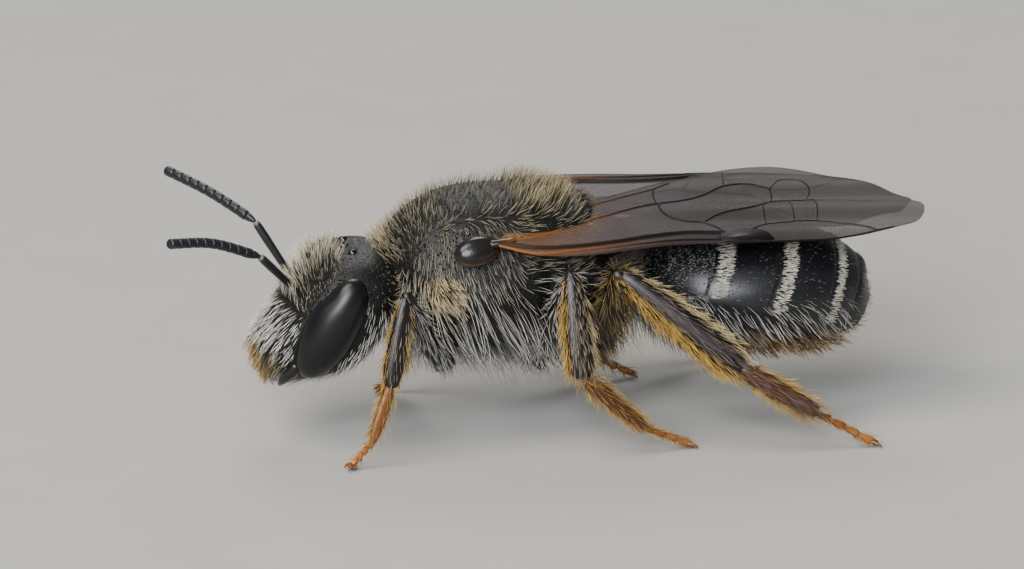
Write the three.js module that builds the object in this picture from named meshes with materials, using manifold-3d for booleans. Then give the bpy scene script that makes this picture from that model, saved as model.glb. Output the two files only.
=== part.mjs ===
// A female furrow bee (Lasioglossum), life size, standing at rest with its wings folded over its back.
// Units are millimetres. The bee faces -Y, its left side is +X, +Z is up and the floor is z = 0.
// Every solid reaches out to the tips of the hairs that grow on it.

import * as THREE from 'three';
import { mergeVertices } from 'three/addons/utils/BufferGeometryUtils.js';
import Module from 'manifold-3d';

const wasm = await Module();
wasm.setup();

// ---------------------------------------------------------------- driving sizes

const GAP = 0.03; // clearance between neighbouring pieces
const SLIVER = 0.03; // vertices closer than this are made one after a cut
const MIDDLE_Y = -0.444; // the middle of the bee's footprint, which becomes the origin
const FLOOR_BLOCK = { width: 20, depth: 2 }; // the block that trims the feet level with the floor

// Trunk outlines: the body's top, bottom and half width at each distance along it, without hair.
const THORAX = {
  y: [-3.2, -2.95, -2.6, -2.1, -1.2, -0.3, 0.35, 0.85, 1.18],
  top: [2.5, 2.95, 3.46, 3.84, 4.02, 3.95, 3.7, 3.15, 2.6],
  bottom: [2.05, 1.85, 1.6, 1.36, 1.2, 1.22, 1.35, 1.6, 1.95],
  half: [0.42, 0.6, 1.0, 1.25, 1.36, 1.33, 1.2, 0.95, 0.5],
  coat: { top: 0.26, bottom: 0.36, side: 0.2 },
  power: 2.3,
  taper: 0.3, // how much narrower the breast is than the back
};
const ABDOMEN = {
  y: [1.12, 1.45, 1.9, 2.6, 3.3, 4.0, 4.6, 5.0, 5.14],
  top: [2.5, 2.86, 3.06, 3.12, 3.12, 3.03, 2.76, 2.35, 2.0],
  bottom: [2.05, 1.62, 1.4, 1.27, 1.23, 1.22, 1.28, 1.42, 1.62],
  half: [0.25, 0.8, 1.22, 1.47, 1.52, 1.4, 1.06, 0.6, 0.25],
  coat: { top: 0.04, bottom: 0.22, side: 0.06 },
  power: 2.1,
  taper: 0.05,
};
const WAIST_HEIGHT = 2.2;
// Where one tergite ends and the next begins at waist height, and how far the joint leans back.
const TERGITE_ENDS = [
  { y: 2.14, lean: 0.05 },
  { y: 3.14, lean: 0.25 },
  { y: 4.28, lean: 0.42 },
  { y: 4.74, lean: 0.5 },
];

// Head, in its own axes: across, down the face and out of the face. Its coat's brush is how much
// longer the hair of the face grows towards the jaws, and jaw is how much the head narrows there.
const HEAD_CENTRE = new THREE.Vector3(0, -3.88, 2.27);
const HEAD_LEAN = THREE.MathUtils.degToRad(28); // how far the jaws swing forward of straight down
const HEAD = { across: 1.31, down: 1.32, front: 0.72, back: 0.76, power: 2.2, jaw: 0.2 };
const HEAD_COAT = { across: 0.06, up: 0.06, down: 0.1, front: 0.18, brush: 0.22 };
const EYE = { across: 0.34, down: 0.87, out: 0.37, at: [1.01, 0.17, -0.03], tilt: 0.13 };
const MANDIBLE = {
  root: [0.72, 1.08, 0.1],
  bend: [0.54, 1.42, 0.08],
  tip: [0.14, 1.56, 0.12],
  radii: [0.25, 0.2],
};

// Feelers: half the thickness, and the points that each one passes through.
const FEELER_RADIUS = 0.23;
const FEELERS = {
  left: {
    socket: [0.25, -4.36, 2.51],
    elbow: [0.6, -5.04, 3.25],
    middle: [1.25, -5.955, 3.72],
    tip: [1.9, -6.74, 3.95],
  },
  right: {
    socket: [-0.25, -4.3, 2.51],
    elbow: [-0.42, -4.92, 3.53],
    middle: [-1.33, -5.48, 3.79],
    tip: [-2.2, -6.03, 3.94],
  },
};

// Legs: the joints of the left legs, from body to claws, and each stretch's half thickness.
const LEGS = {
  fore: {
    coxa: [0.42, -1.95, 1.4],
    trochanter: [0.68, -2.1, 1.18],
    knee: [1.5, -2.83, 2.79],
    ankle: [1.75, -3.14, 1.31],
    heel: [1.9, -3.47, 0.45],
    claws: [1.95, -3.86, 0.0],
    radii: { coxa: 0.34, femur: 0.29, tibia: 0.3, tarsus: 0.23 },
    stance: 1.25,
  },
  mid: {
    coxa: [0.5, -0.62, 1.4],
    trochanter: [0.78, -0.5, 1.16],
    knee: [1.75, -0.16, 3.06],
    ankle: [2.15, 0, 1.4],
    heel: [2.1, 0.955, 0.48],
    claws: [1.95, 1.75, 0.02],
    radii: { coxa: 0.36, femur: 0.3, tibia: 0.4, tarsus: 0.25 },
    stance: -0.1,
  },
  hind: {
    coxa: [0.45, 0.3, 1.42],
    trochanter: [0.75, 0.48, 1.18],
    knee: [1.7, 0.58, 3.02],
    ankle: [2.35, 2.44, 1.43],
    heel: [2.5, 3.67, 0.65],
    claws: [2.5, 4.68, 0.03],
    radii: { coxa: 0.38, femur: 0.34, tibia: 0.5, tarsus: 0.3 },
    stance: -1.1,
  },
};

const TIBIA_FLATNESS = 0.65; // a shin's thickness across the body, as a share of its depth

// Wings, as flat outlines: distance from the hinge and distance behind the line from hinge to tip.
const WING_THICKNESS = 0.44;
const FORE_WING = {
  outline: [
    [0, -0.16], [0.5, -0.48], [1.2, -0.57], [2.0, -0.52], [2.84, -0.44], [3.8, -0.47], [4.7, -0.52],
    [5.4, -0.55], [6.1, -0.48], [6.8, -0.28], [7.13, 0.1], [6.95, 0.6], [6.3, 1.2], [5.5, 1.6],
    [4.5, 1.7], [3.4, 1.5], [2.3, 1.18], [1.0, 0.7], [0, 0.2],
  ],
  left: { hinge: [1.33, -1.2, 3.48], tip: [0.6, 5.89, 3.28], rise: 0.26 },
  right: { hinge: [-1.33, -1.2, 3.46], tip: [-0.85, 5.72, 3.2], rise: -0.12, arch: 0.2 },
};
const HIND_WING = {
  outline: [
    [0, -0.12], [1.4, -0.3], [2.8, -0.36], [4.1, -0.3], [4.8, 0], [4.7, 0.42], [3.9, 0.85], [2.7, 1],
    [1.4, 0.72], [0, 0.2],
  ],
  left: { hinge: [1.25, -0.5, 3.02], tip: [0.75, 4.3, 2.95], rise: 0.04 },
  right: { hinge: [-1.25, -0.5, 3.06], tip: [-0.75, 4.3, 2.97], rise: 0.04 },
};
const TEGULA = { centre: [1.33, -1.64, 3.36], half: [0.2, 0.36, 0.26], roll: 0.5 };

// ---------------------------------------------------------------- colours

const COLOURS = {
  cuticle: { color: 0x1d1b1a, roughness: 0.5, metalness: 0 },
  hairy: { color: 0x5c5340, roughness: 0.9, metalness: 0 },
  tergite: { color: 0x17181b, roughness: 0.4, metalness: 0 },
  eye: { color: 0x101114, roughness: 0.15, metalness: 0 },
  limb: { color: 0x3a2f24, roughness: 0.7, metalness: 0 },
  foot: { color: 0x9a6426, roughness: 0.7, metalness: 0 },
  wing: { color: 0x6d625b, roughness: 0.3, metalness: 0 },
};

// ---------------------------------------------------------------- solids from geometry

const SIDES = { trunk: 20, head: 18, eye: 12, limb: 8, feeler: 8 };

function volumeOf(position, index) {
  const a = new THREE.Vector3();
  const b = new THREE.Vector3();
  const c = new THREE.Vector3();
  let volume = 0;
  for (let i = 0; i < index.length; i += 3) {
    a.fromBufferAttribute(position, index[i]);
    b.fromBufferAttribute(position, index[i + 1]);
    c.fromBufferAttribute(position, index[i + 2]);
    volume += a.dot(b.cross(c)) / 6;
  }
  return volume;
}

/** A solid with its faces outward from a closed geometry, with vertices this close made one. */
function solidOf(geometry, closeness = 1e-4) {
  geometry.deleteAttribute('normal');
  geometry.deleteAttribute('uv');
  const merged = mergeVertices(geometry, closeness);
  const index = [];
  for (let i = 0; i < merged.index.count; i += 3) {
    const corners = [0, 1, 2].map((k) => merged.index.getX(i + k));
    if (new Set(corners).size === 3) index.push(...corners);
  }
  const position = merged.attributes.position;
  if (volumeOf(position, index) < 0) index.reverse();
  return new wasm.Manifold(new wasm.Mesh({
    numProp: 3,
    vertProperties: new Float32Array(position.array),
    triVerts: new Uint32Array(index),
  }));
}

function geometryOf(solid) {
  const mesh = solid.getMesh();
  const geometry = new THREE.BufferGeometry();
  geometry.setAttribute('position', new THREE.BufferAttribute(mesh.vertProperties, 3));
  geometry.setIndex(new THREE.BufferAttribute(mesh.triVerts, 1));
  geometry.computeVertexNormals();
  return geometry;
}

const largestBody = (solid) => solid.decompose()
  .reduce((best, body) => (body.volume() > best.volume() ? body : best));

/** A cut solid without the crumbs and slivers that cutting leaves, as far as it stays closed. */
function withoutSlivers(solid) {
  const whole = largestBody(solid);
  for (let closeness = SLIVER; closeness > SLIVER / 20; closeness /= 2) {
    try {
      return largestBody(solidOf(geometryOf(whole), closeness));
    } catch {
      // merging vertices this far apart opens the solid, so nearer ones are tried
    }
  }
  return whole;
}

/** Moves every vertex of a geometry to where place(vertex) says. */
function moved(geometry, place) {
  const position = geometry.attributes.position;
  const vertex = new THREE.Vector3();
  for (let i = 0; i < position.count; i += 1) {
    vertex.fromBufferAttribute(position, i);
    const at = place(vertex);
    position.setXYZ(i, at.x, at.y, at.z);
  }
  return geometry;
}

/** A smooth curve's value at x, through the points (xs[i], ys[i]). */
function smooth(xs, ys, x) {
  const last = xs.length - 1;
  let i = 0;
  while (i < last - 1 && x > xs[i + 1]) i += 1;
  const slope = (k) => {
    const before = Math.max(0, k - 1);
    const after = Math.min(last, k + 1);
    return (ys[after] - ys[before]) / (xs[after] - xs[before]);
  };
  const step = xs[i + 1] - xs[i];
  const t = THREE.MathUtils.clamp((x - xs[i]) / step, 0, 1);
  const bend = (1 - t) * slope(i) - t * slope(i + 1);
  const chord = (ys[i + 1] - ys[i]) / step;
  return ys[i] + t * (ys[i + 1] - ys[i]) + t * (1 - t) * step * (bend - (1 - 2 * t) * chord);
}

const bulge = (value, power) => Math.sign(value) * Math.abs(value) ** (2 / power);

/** A turned outline from y = 0 to y = 1 with round ends, each end being `cap` long. */
function roundedRod(steps, sides, cap) {
  const points = [new THREE.Vector2(0, 0)];
  for (let i = 1; i < steps; i += 1) {
    const y = (1 - Math.cos((Math.PI * i) / steps)) / 2;
    const fromEnd = Math.min(y, 1 - y);
    const radius = fromEnd < cap ? Math.sqrt(1 - (1 - fromEnd / cap) ** 2) : 1;
    points.push(new THREE.Vector2(radius, y));
  }
  points.push(new THREE.Vector2(0, 1));
  return new THREE.LatheGeometry(points, sides);
}

// ---------------------------------------------------------------- trunk

/** Thorax or abdomen, from its outlines. */
function trunk(shape, grow) {
  const first = shape.y[0] - grow;
  const last = shape.y[shape.y.length - 1] + grow;
  const rod = roundedRod(14, SIDES.trunk, 0.1);
  return solidOf(moved(rod, (v) => {
    const y = THREE.MathUtils.lerp(first, last, v.y);
    const top = smooth(shape.y, shape.top, y) + shape.coat.top + grow;
    const bottom = smooth(shape.y, shape.bottom, y) - shape.coat.bottom - grow;
    const half = smooth(shape.y, shape.half, y) + shape.coat.side + grow;
    const middle = (top + bottom) / 2;
    const radius = Math.hypot(v.x, v.z);
    const up = radius === 0 ? 0 : v.z / radius;
    const across = radius === 0 ? 0 : v.x / radius;
    const narrow = 1 - shape.taper * Math.max(0, -up) ** 1.5;
    return new THREE.Vector3(
      half * narrow * radius * bulge(across, shape.power),
      y,
      middle + ((top - bottom) / 2) * radius * bulge(up, shape.power),
    );
  }));
}

/** The block of space behind (side = 1) or ahead of (side = -1) a leaning cut across the abdomen. */
function beyondCut(cut, side, clearance) {
  const size = 12;
  const block = new THREE.BoxGeometry(size, size, size);
  block.translate(0, side * (size / 2 + clearance), 0);
  block.rotateX(-Math.atan(cut.lean));
  block.translate(0, cut.y, WAIST_HEIGHT);
  return solidOf(block);
}

/** One ring of the abdomen, between two cuts. */
function tergite(number, grow) {
  let ring = trunk(ABDOMEN, grow);
  const start = TERGITE_ENDS[number - 2];
  const end = TERGITE_ENDS[number - 1];
  if (start) ring = ring.subtract(beyondCut(start, -1, -GAP / 2 + grow));
  if (end) ring = ring.subtract(beyondCut(end, 1, GAP / 2 + grow));
  return ring;
}

// ---------------------------------------------------------------- head

/** A place in the head's own axes (across, down, out) in the bee's axes. */
function fromHead(across, down, out) {
  const cos = Math.cos(HEAD_LEAN);
  const sin = Math.sin(HEAD_LEAN);
  const y = -down * sin - out * cos;
  const z = -down * cos + out * sin;
  return new THREE.Vector3(across, y, z).add(HEAD_CENTRE);
}

/** A round form in the head's axes, from the unit sphere that shape() bends. */
function headForm(sides, rings, shape) {
  const ball = new THREE.SphereGeometry(1, sides, rings);
  return solidOf(moved(ball, (v) => fromHead(...shape(v.x, -v.y, v.z))));
}

function head(grow) {
  return headForm(SIDES.head, 13, (x, d, f) => {
    const front = HEAD.front + HEAD_COAT.front + HEAD_COAT.brush * d;
    const narrow = 1 - HEAD.jaw * Math.max(0, d) ** 2;
    const up = d < 0 ? HEAD_COAT.up : HEAD_COAT.down;
    return [
      (HEAD.across + HEAD_COAT.across + grow) * narrow * bulge(x, HEAD.power),
      (HEAD.down + up + grow) * bulge(d, HEAD.power),
      ((f > 0 ? front : HEAD.back) + grow) * bulge(f, HEAD.power),
    ];
  });
}

function eye(side, grow) {
  const [across, down, out] = EYE.at;
  return headForm(SIDES.eye, 8, (x, d, f) => [
    side * (across - EYE.tilt * d + (EYE.across + grow) * x),
    down + (EYE.down + grow) * d,
    out + (EYE.out + grow) * f,
  ]);
}

// ---------------------------------------------------------------- limbs

/**
 * A limb along a curve through the points. radius(t) is its half thickness from the start (0) to
 * the end (1), and flat is how thick it is across the body compared with along it.
 */
function limb(points, radius, grow, { sides = SIDES.limb, steps = 7, flat = 1 } = {}) {
  const curve = new THREE.CatmullRomCurve3(points);
  const length = curve.getLength() + 2 * grow;
  const cap = Math.min(0.4, (Math.max(radius(0), radius(1)) + grow) / length);
  return solidOf(moved(roundedRod(steps, sides, cap), (v) => {
    const along = THREE.MathUtils.clamp(v.y, 0, 1);
    const tangent = curve.getTangentAt(along);
    const across = new THREE.Vector3(1, 0, 0).addScaledVector(tangent, -tangent.x).normalize();
    const upright = new THREE.Vector3().crossVectors(tangent, across);
    const size = radius(along) + grow;
    return curve.getPointAt(along)
      .addScaledVector(tangent, (2 * along - 1) * grow)
      .addScaledVector(across, v.x * size * flat)
      .addScaledVector(upright, v.z * size);
  }));
}

const at = (point, side = 1) => new THREE.Vector3(side * point[0], point[1], point[2]);
const taper = (start, end) => (t) => THREE.MathUtils.lerp(start, end, t);
const swell = (start, middle, end) => (t) => smooth([0, 0.5, 1], [start, middle, end], t);

/** The four stretches of one leg, each as a function of how much it is grown. */
function legParts(leg, side) {
  const shift = side < 0 ? leg.stance : 0;
  const joint = (name, share) => at(leg[name], side).add(new THREE.Vector3(0, shift * share, 0));
  const coxa = joint('coxa', 0);
  const trochanter = joint('trochanter', 0);
  const knee = joint('knee', 0.5);
  const ankle = joint('ankle', 0.8);
  const heel = joint('heel', 1);
  const claws = joint('claws', 1);
  const { radii } = leg;
  const hip = taper(radii.coxa, radii.coxa * 0.8);
  const thigh = swell(radii.femur, radii.femur, radii.femur * 0.7);
  const shin = swell(radii.tibia * 0.62, radii.tibia, radii.tibia * 0.74);
  const foot = taper(radii.tarsus, radii.tarsus * 0.85);
  return {
    tibia: (grow) => limb([knee, ankle], shin, grow, { flat: TIBIA_FLATNESS }),
    femur: (grow) => limb([trochanter, knee], thigh, grow),
    coxa: (grow) => limb([coxa, trochanter], hip, grow, { steps: 6, sides: 7 }),
    tarsus: (grow) => limb([ankle, heel, claws], foot, grow),
  };
}

/** The space under the floor. */
function ground() {
  const { width, depth } = FLOOR_BLOCK;
  const block = new THREE.BoxGeometry(width, width, depth);
  block.translate(0, 0, -depth / 2);
  return solidOf(block);
}

function feelerParts(points, side) {
  const even = () => FEELER_RADIUS;
  const elbow = at(points.elbow);
  const scape = { sides: SIDES.feeler, steps: 6 };
  const whip = { sides: SIDES.feeler, steps: 10 };
  return {
    scape: (grow) => limb([at(points.socket), elbow], even, grow, scape),
    flagellum: (grow) => limb([elbow, at(points.middle), at(points.tip)], even, grow, whip),
  };
}

function mandible(side, grow) {
  const { root, bend, tip, radii } = MANDIBLE;
  const points = [root, bend, tip].map(([across, down, out]) => fromHead(side * across, down, out));
  return limb(points, taper(...radii), grow, { steps: 7 });
}

// ---------------------------------------------------------------- wings

function wing(kind, sideName, grow) {
  const { hinge, tip, rise, arch = 0 } = kind[sideName];
  const side = sideName === 'left' ? 1 : -1;
  const start = at(hinge);
  const along = at(tip).sub(start);
  const length = along.length();
  along.normalize();
  const behind = new THREE.Vector3(-along.y * side, along.x * side, 0).normalize();
  const outline = new THREE.Shape();
  const points = kind.outline.map(([u, v]) => new THREE.Vector2(u, v));
  outline.moveTo(points[0].x, points[0].y);
  outline.splineThru(points.slice(1));
  outline.closePath();
  const thickness = WING_THICKNESS + 2 * grow;
  const settings = { depth: thickness, bevelEnabled: false, curveSegments: 2 };
  const slab = new THREE.ExtrudeGeometry(outline, settings);
  return solidOf(moved(slab, (v) => {
    const lift = rise * v.y + arch * Math.sin((Math.PI * v.x) / length);
    return start.clone()
      .addScaledVector(along, v.x)
      .addScaledVector(behind, v.y)
      .add(new THREE.Vector3(0, 0, lift + v.z - thickness / 2));
  }));
}

function tegula(side, grow) {
  const ball = new THREE.SphereGeometry(1, 10, 6);
  const [x, y, z] = TEGULA.half.map((half) => half + grow);
  ball.scale(x, y, z);
  ball.rotateY(-side * TEGULA.roll);
  const [cx, cy, cz] = TEGULA.centre;
  ball.translate(side * cx, cy, cz);
  return solidOf(ball);
}

// ---------------------------------------------------------------- the whole bee

const pieces = [];

function piece(name, colour, shape) {
  pieces.push({ name, colour, shape });
}

for (const [name, side] of [['left', 1], ['right', -1]]) {
  piece(`eye_${name}`, 'eye', (grow) => eye(side, grow));
  piece(`mandible_${name}`, 'cuticle', (grow) => mandible(side, grow));
  const feeler = feelerParts(FEELERS[name], side);
  piece(`antenna_scape_${name}`, 'cuticle', feeler.scape);
  piece(`antenna_flagellum_${name}`, 'cuticle', feeler.flagellum);
  piece(`tegula_${name}`, 'cuticle', (grow) => tegula(side, grow));
  for (const [rank, leg] of Object.entries(LEGS)) {
    const parts = legParts(leg, side);
    for (const [part, shape] of Object.entries(parts)) {
      piece(`leg_${rank}_${name}_${part}`, part === 'tarsus' ? 'foot' : 'limb', shape);
    }
  }
}
piece('head', 'hairy', head);
piece('wing_fore_left', 'wing', (grow) => wing(FORE_WING, 'left', grow));
piece('wing_fore_right', 'wing', (grow) => wing(FORE_WING, 'right', grow));
for (let number = 1; number <= TERGITE_ENDS.length + 1; number += 1) {
  piece(`abdomen_segment_${number}`, 'tergite', (grow) => tergite(number, grow));
}
piece('wing_hind_left', 'wing', (grow) => wing(HIND_WING, 'left', grow));
piece('wing_hind_right', 'wing', (grow) => wing(HIND_WING, 'right', grow));
piece('thorax', 'hairy', (grow) => trunk(THORAX, grow));

function boxOf(solid) {
  return new THREE.Box3().setFromBufferAttribute(geometryOf(solid).attributes.position);
}

/** Each piece gives way, with a gap, to the ones listed before it, and its feet end at the floor. */
function fitted() {
  const floor = ground();
  const grown = [];
  return pieces.map(({ name, colour, shape }) => {
    let solid = shape(0);
    const box = boxOf(solid);
    for (const other of grown) {
      if (other.box.intersectsBox(box)) solid = solid.subtract(other.solid);
    }
    if (box.min.z < 0) solid = solid.subtract(floor);
    const larger = shape(GAP);
    grown.push({ solid: larger, box: boxOf(larger) });
    return { name, colour, solid: withoutSlivers(solid) };
  });
}

const bee = new THREE.Group();
bee.position.y = -MIDDLE_Y;
for (const { name, colour, solid } of fitted()) {
  const mesh = new THREE.Mesh(geometryOf(solid), new THREE.MeshStandardMaterial(COLOURS[colour]));
  mesh.name = name;
  bee.add(mesh);
}

export default bee;
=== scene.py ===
"""A female furrow bee at life size: its shell, eyes, feelers, wings and coat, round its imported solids."""

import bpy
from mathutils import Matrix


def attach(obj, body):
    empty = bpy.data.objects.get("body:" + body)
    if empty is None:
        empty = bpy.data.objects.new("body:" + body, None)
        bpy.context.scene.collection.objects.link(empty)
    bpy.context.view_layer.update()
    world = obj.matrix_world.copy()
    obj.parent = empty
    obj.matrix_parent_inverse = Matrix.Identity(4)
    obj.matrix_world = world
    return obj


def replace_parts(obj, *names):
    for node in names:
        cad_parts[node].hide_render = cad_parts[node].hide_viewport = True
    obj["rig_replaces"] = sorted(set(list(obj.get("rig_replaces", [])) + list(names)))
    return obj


bl_info = {
    "name": "Furrow bee",
    "version": (1, 0, 0),
    "blender": (4, 5, 0),
    "location": "3D View > Sidebar > Furrow bee",
    "description": "Builds a life-size furrow bee, piece by piece",
    "category": "Object",
}

import math

import bpy
import numpy as np
from mathutils import Matrix, Vector, kdtree

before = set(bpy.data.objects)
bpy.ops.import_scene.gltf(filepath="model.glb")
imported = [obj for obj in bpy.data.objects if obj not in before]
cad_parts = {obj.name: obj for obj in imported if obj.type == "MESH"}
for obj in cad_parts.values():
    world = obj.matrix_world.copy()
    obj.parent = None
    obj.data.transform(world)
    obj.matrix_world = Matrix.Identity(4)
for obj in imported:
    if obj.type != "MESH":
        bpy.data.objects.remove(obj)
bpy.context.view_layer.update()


# ------------------------------------------------------------------ sizes, in millimetres

MM = 0.001
SHIFT = Vector((0.0, 0.444, 0.0))  # from the bee's own zero, in its waist, to the middle of its box

# Trunk outlines without hair: top, bottom and half width at each distance along the body.
THORAX = {
    "at": [-3.2, -2.95, -2.6, -2.1, -1.2, -0.3, 0.35, 0.85, 1.18],
    "top": [2.75, 3.2, 3.6, 3.9, 4.03, 3.95, 3.7, 3.15, 2.6],
    "bottom": [2.05, 1.85, 1.6, 1.36, 1.2, 1.22, 1.35, 1.6, 1.95],
    "half": [0.42, 0.6, 1.0, 1.25, 1.36, 1.33, 1.2, 0.95, 0.5],
    "taper": 0.3,  # how much narrower the breast is than the back
    "swells": [  # centre, radii and push; one off the middle is on both sides
        ((0, 0.02, 3.98), (0.9, 0.12, 0.4), (0, 0, -0.1)),  # groove across the back
        ((0, 0.34, 3.75), (0.6, 0.25, 0.4), (0, 0.05, 0.12)),  # knob behind it
        ((1.2, -2.2, 2.68), (0.3, 0.2, 0.22), (0.1, 0, 0.02)),  # shoulder lobe
        ((1.3, -1.35, 2.2), (0.4, 0.5, 0.55), (0.12, 0, 0)),  # flank
        ((1.3, -0.45, 2.3), (0.3, 0.12, 0.6), (-0.1, 0, 0)),  # seam behind it
        ((1.15, 0.4, 2.5), (0.3, 0.35, 0.5), (0.08, 0, 0)),  # rear flank
    ],
}
ABDOMEN = {
    "at": [1.12, 1.45, 1.9, 2.6, 3.3, 4.0, 4.6, 5.0, 5.14],
    "top": [2.5, 2.86, 3.06, 3.12, 3.12, 3.03, 2.76, 2.35, 2.0],
    "bottom": [2.05, 1.62, 1.4, 1.27, 1.23, 1.22, 1.28, 1.42, 1.62],
    "half": [0.25, 0.8, 1.22, 1.47, 1.52, 1.4, 1.06, 0.6, 0.25],
    "taper": 0.05,
}
WAIST_HEIGHT = 2.2
# Where each tergite starts at waist height, and how far that joint leans back.
TERGITES = {"at": [1.12, 2.05, 3.12, 4.2, 4.74, 5.14], "lean": [0.0, 0.42, 0.45, 0.42, 0.45, 0.45]}
TERGITE_STEP = 0.045  # how far a tergite's front tucks in under the one before it

# Head, in its own axes: half width, face and nape at each distance down the face.
HEAD_CENTRE = Vector((0.0, -3.88, 2.27))
HEAD_LEAN = math.radians(28)
HEAD = {
    "at": [-1.2, -1.13, -0.97, -0.72, -0.25, 0.3, 0.75, 1.1, 1.34, 1.46],
    "half": [0.34, 0.6, 0.9, 1.1, 1.24, 1.21, 1.04, 0.78, 0.5, 0.3],
    "face": [-0.24, -0.14, 0.09, 0.39, 0.58, 0.66, 0.71, 0.66, 0.5, 0.36],
    "nape": [0.54, 0.7, 0.86, 0.97, 1.02, 0.96, 0.76, 0.42, 0.1, -0.06],
    "swells": [  # as the thorax's, but across, out of the face and down it
        ((0, 0.7, 0.92), (0.5, 0.4, 0.3), (0, 0.1, 0.02)),  # face plate
        ((0, 0.65, 0.35), (0.2, 0.3, 0.3), (0, 0.07, 0)),  # between the feelers
        ((1.25, 0.0, 0.17), (0.4, 0.45, 0.8), (-0.1, 0, 0)),  # bed of the eye
        ((0.25, 0.65, 0.02), (0.13, 0.3, 0.13), (0, -0.1, 0)),  # pit of the feeler
        ((0.7, 0.6, -0.3), (0.2, 0.3, 0.5), (0, -0.07, 0)),  # beside the brow
    ],
}
EYE = {"at": (1.03, 0.18, -0.01), "half": (0.37, 0.93, 0.43), "tilt": 0.12,
       "swells": [((1.1, 0.42, -0.35), (0.5, 0.2, 0.25), (0, -0.06, 0))]}  # bay in its inner edge
OCELLI = [(0.0, -0.94, 0.13), (0.38, -0.95, 0.035), (-0.38, -0.95, 0.035)]
OCELLUS_RADIUS = 0.08
MANDIBLE = {"line": [(0.78, 0.98, 0.12), (0.74, 1.2, 0.18), (0.58, 1.4, 0.18), (0.3, 1.52, 0.08)],
            "radii": [0.1, 0.08, 0.05, 0.012], "flat": 1.2}

FEELERS = {
    "left": [(0.25, -4.36, 2.51), (0.6, -5.04, 3.25), (1.25, -5.955, 3.72), (1.9, -6.74, 3.95)],
    "right": [(-0.25, -4.3, 2.51), (-0.42, -4.92, 3.53), (-1.33, -5.48, 3.79), (-2.2, -6.03, 3.94)],
}
FEELER = {"scape": 0.075, "pedicel": 0.075, "whip": 0.088, "joints": 10, "overlap": 1.03}

# The left legs' joints from body to claws, and the thickest half width of each segment.
LEGS = {
    "fore": {
        "joints": [(0.42, -1.95, 1.55), (0.66, -2.08, 1.22), (0.74, -2.15, 1.28), (1.5, -2.83, 2.72),
                   (1.75, -3.14, 1.31), (1.9, -3.47, 0.45), (1.95, -3.8, 0.09)],
        "radii": [0.27, 0.12, 0.17, 0.18, 0.11, 0.065],
        "stance": 1.25,
    },
    "mid": {
        "joints": [(0.5, -0.62, 1.55), (0.74, -0.5, 1.2), (0.84, -0.47, 1.26), (1.75, -0.18, 2.98),
                   (2.15, -0.1, 1.4), (2.1, 0.9, 0.48), (1.96, 1.68, 0.1)],
        "radii": [0.29, 0.13, 0.19, 0.25, 0.145, 0.07],
        "stance": -0.1,
    },
    "hind": {
        "joints": [(0.45, 0.3, 1.55), (0.72, 0.46, 1.24), (0.82, 0.5, 1.3), (1.7, 0.62, 2.94),
                   (2.35, 2.44, 1.43), (2.5, 3.67, 0.65), (2.5, 4.6, 0.1)],
        "radii": [0.32, 0.14, 0.24, 0.28, 0.18, 0.075],
        "stance": -1.1,
    },
}
SEGMENTS = ["coxa", "trochanter", "femur", "tibia", "basitarsus", "tarsus"]
JOINT_SHARE = [0.0, 0.0, 0.0, 0.5, 0.8, 1.0, 1.0]  # how much of a leg's stance each joint takes
FLATNESS = {"coxa": 1.0, "trochanter": 1.0, "femur": 0.8, "tibia": 0.62, "basitarsus": 0.6}
TARSOMERES = 4
FOOT_AMBER = {"basitarsus": 0.15, "tarsus": 0.25}  # how far amber has taken over from black
TARSOMERE_AMBER = 0.2  # more on each joint of the foot than on the one before
FORE_AMBER = 0.3  # more on the fore feet
SEGMENT_OVERLAP = 1.04  # a segment's length, as a share of the way between its joints
# Claws and pad: places across the foot, ahead of the toe and, as a share, down to the floor.
CLAW = {"line": [(0.02, -0.02, 0), (0.09, 0.08, 0.2), (0.12, 0.15, 0.6), (0.11, 0.17, 1.0)],
        "radii": [0.035, 0.032, 0.022, 0.006]}
PAD = {"line": [(0, -0.02, 0), (0, 0.06, 0.3), (0, 0.11, 0.6)], "radii": [0.03, 0.045, 0.03]}
# Spurs: places along the foot, outwards and up from where they leave the ankle.
SPUR = {"from": (0.06, 0, 0.02), "line": [(0, 0, 0), (0.1, 0.04, -0.03), (0.22, 0.05, -0.07)],
        "radii": [0.015, 0.011, 0.003]}
SOLE = 0.015  # height of the claws' points over the floor

# Half width along a segment of length one, as a share of its thickest.
PROFILES = {
    "coxa": [(0, 0.8), (0.3, 1), (0.75, 0.8), (1, 0.45)],
    "trochanter": [(0, 0.6), (0.4, 1), (1, 0.75)],
    "femur": [(0, 0.4), (0.1, 0.72), (0.35, 1), (0.7, 0.88), (0.9, 0.74), (1, 0.5)],
    "tibia": [(0, 0.36), (0.05, 0.58), (0.3, 0.82), (0.65, 1), (0.88, 0.94), (1, 0.58)],
    "basitarsus": [(0, 0.45), (0.08, 0.9), (0.45, 1), (0.88, 0.86), (1, 0.55)],
    "tarsomere": [(0, 0.4), (0.15, 0.55), (0.65, 0.9), (0.92, 1), (1, 0.6)],
    "scape": [(0, 0.5), (0.05, 0.7), (0.3, 0.82), (0.8, 1), (0.97, 0.9), (1, 0.6)],
    "flagellomere": [(0, 0.6), (0.06, 0.9), (0.2, 0.98), (0.85, 1), (0.95, 0.95), (1, 0.6)],
}

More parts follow.
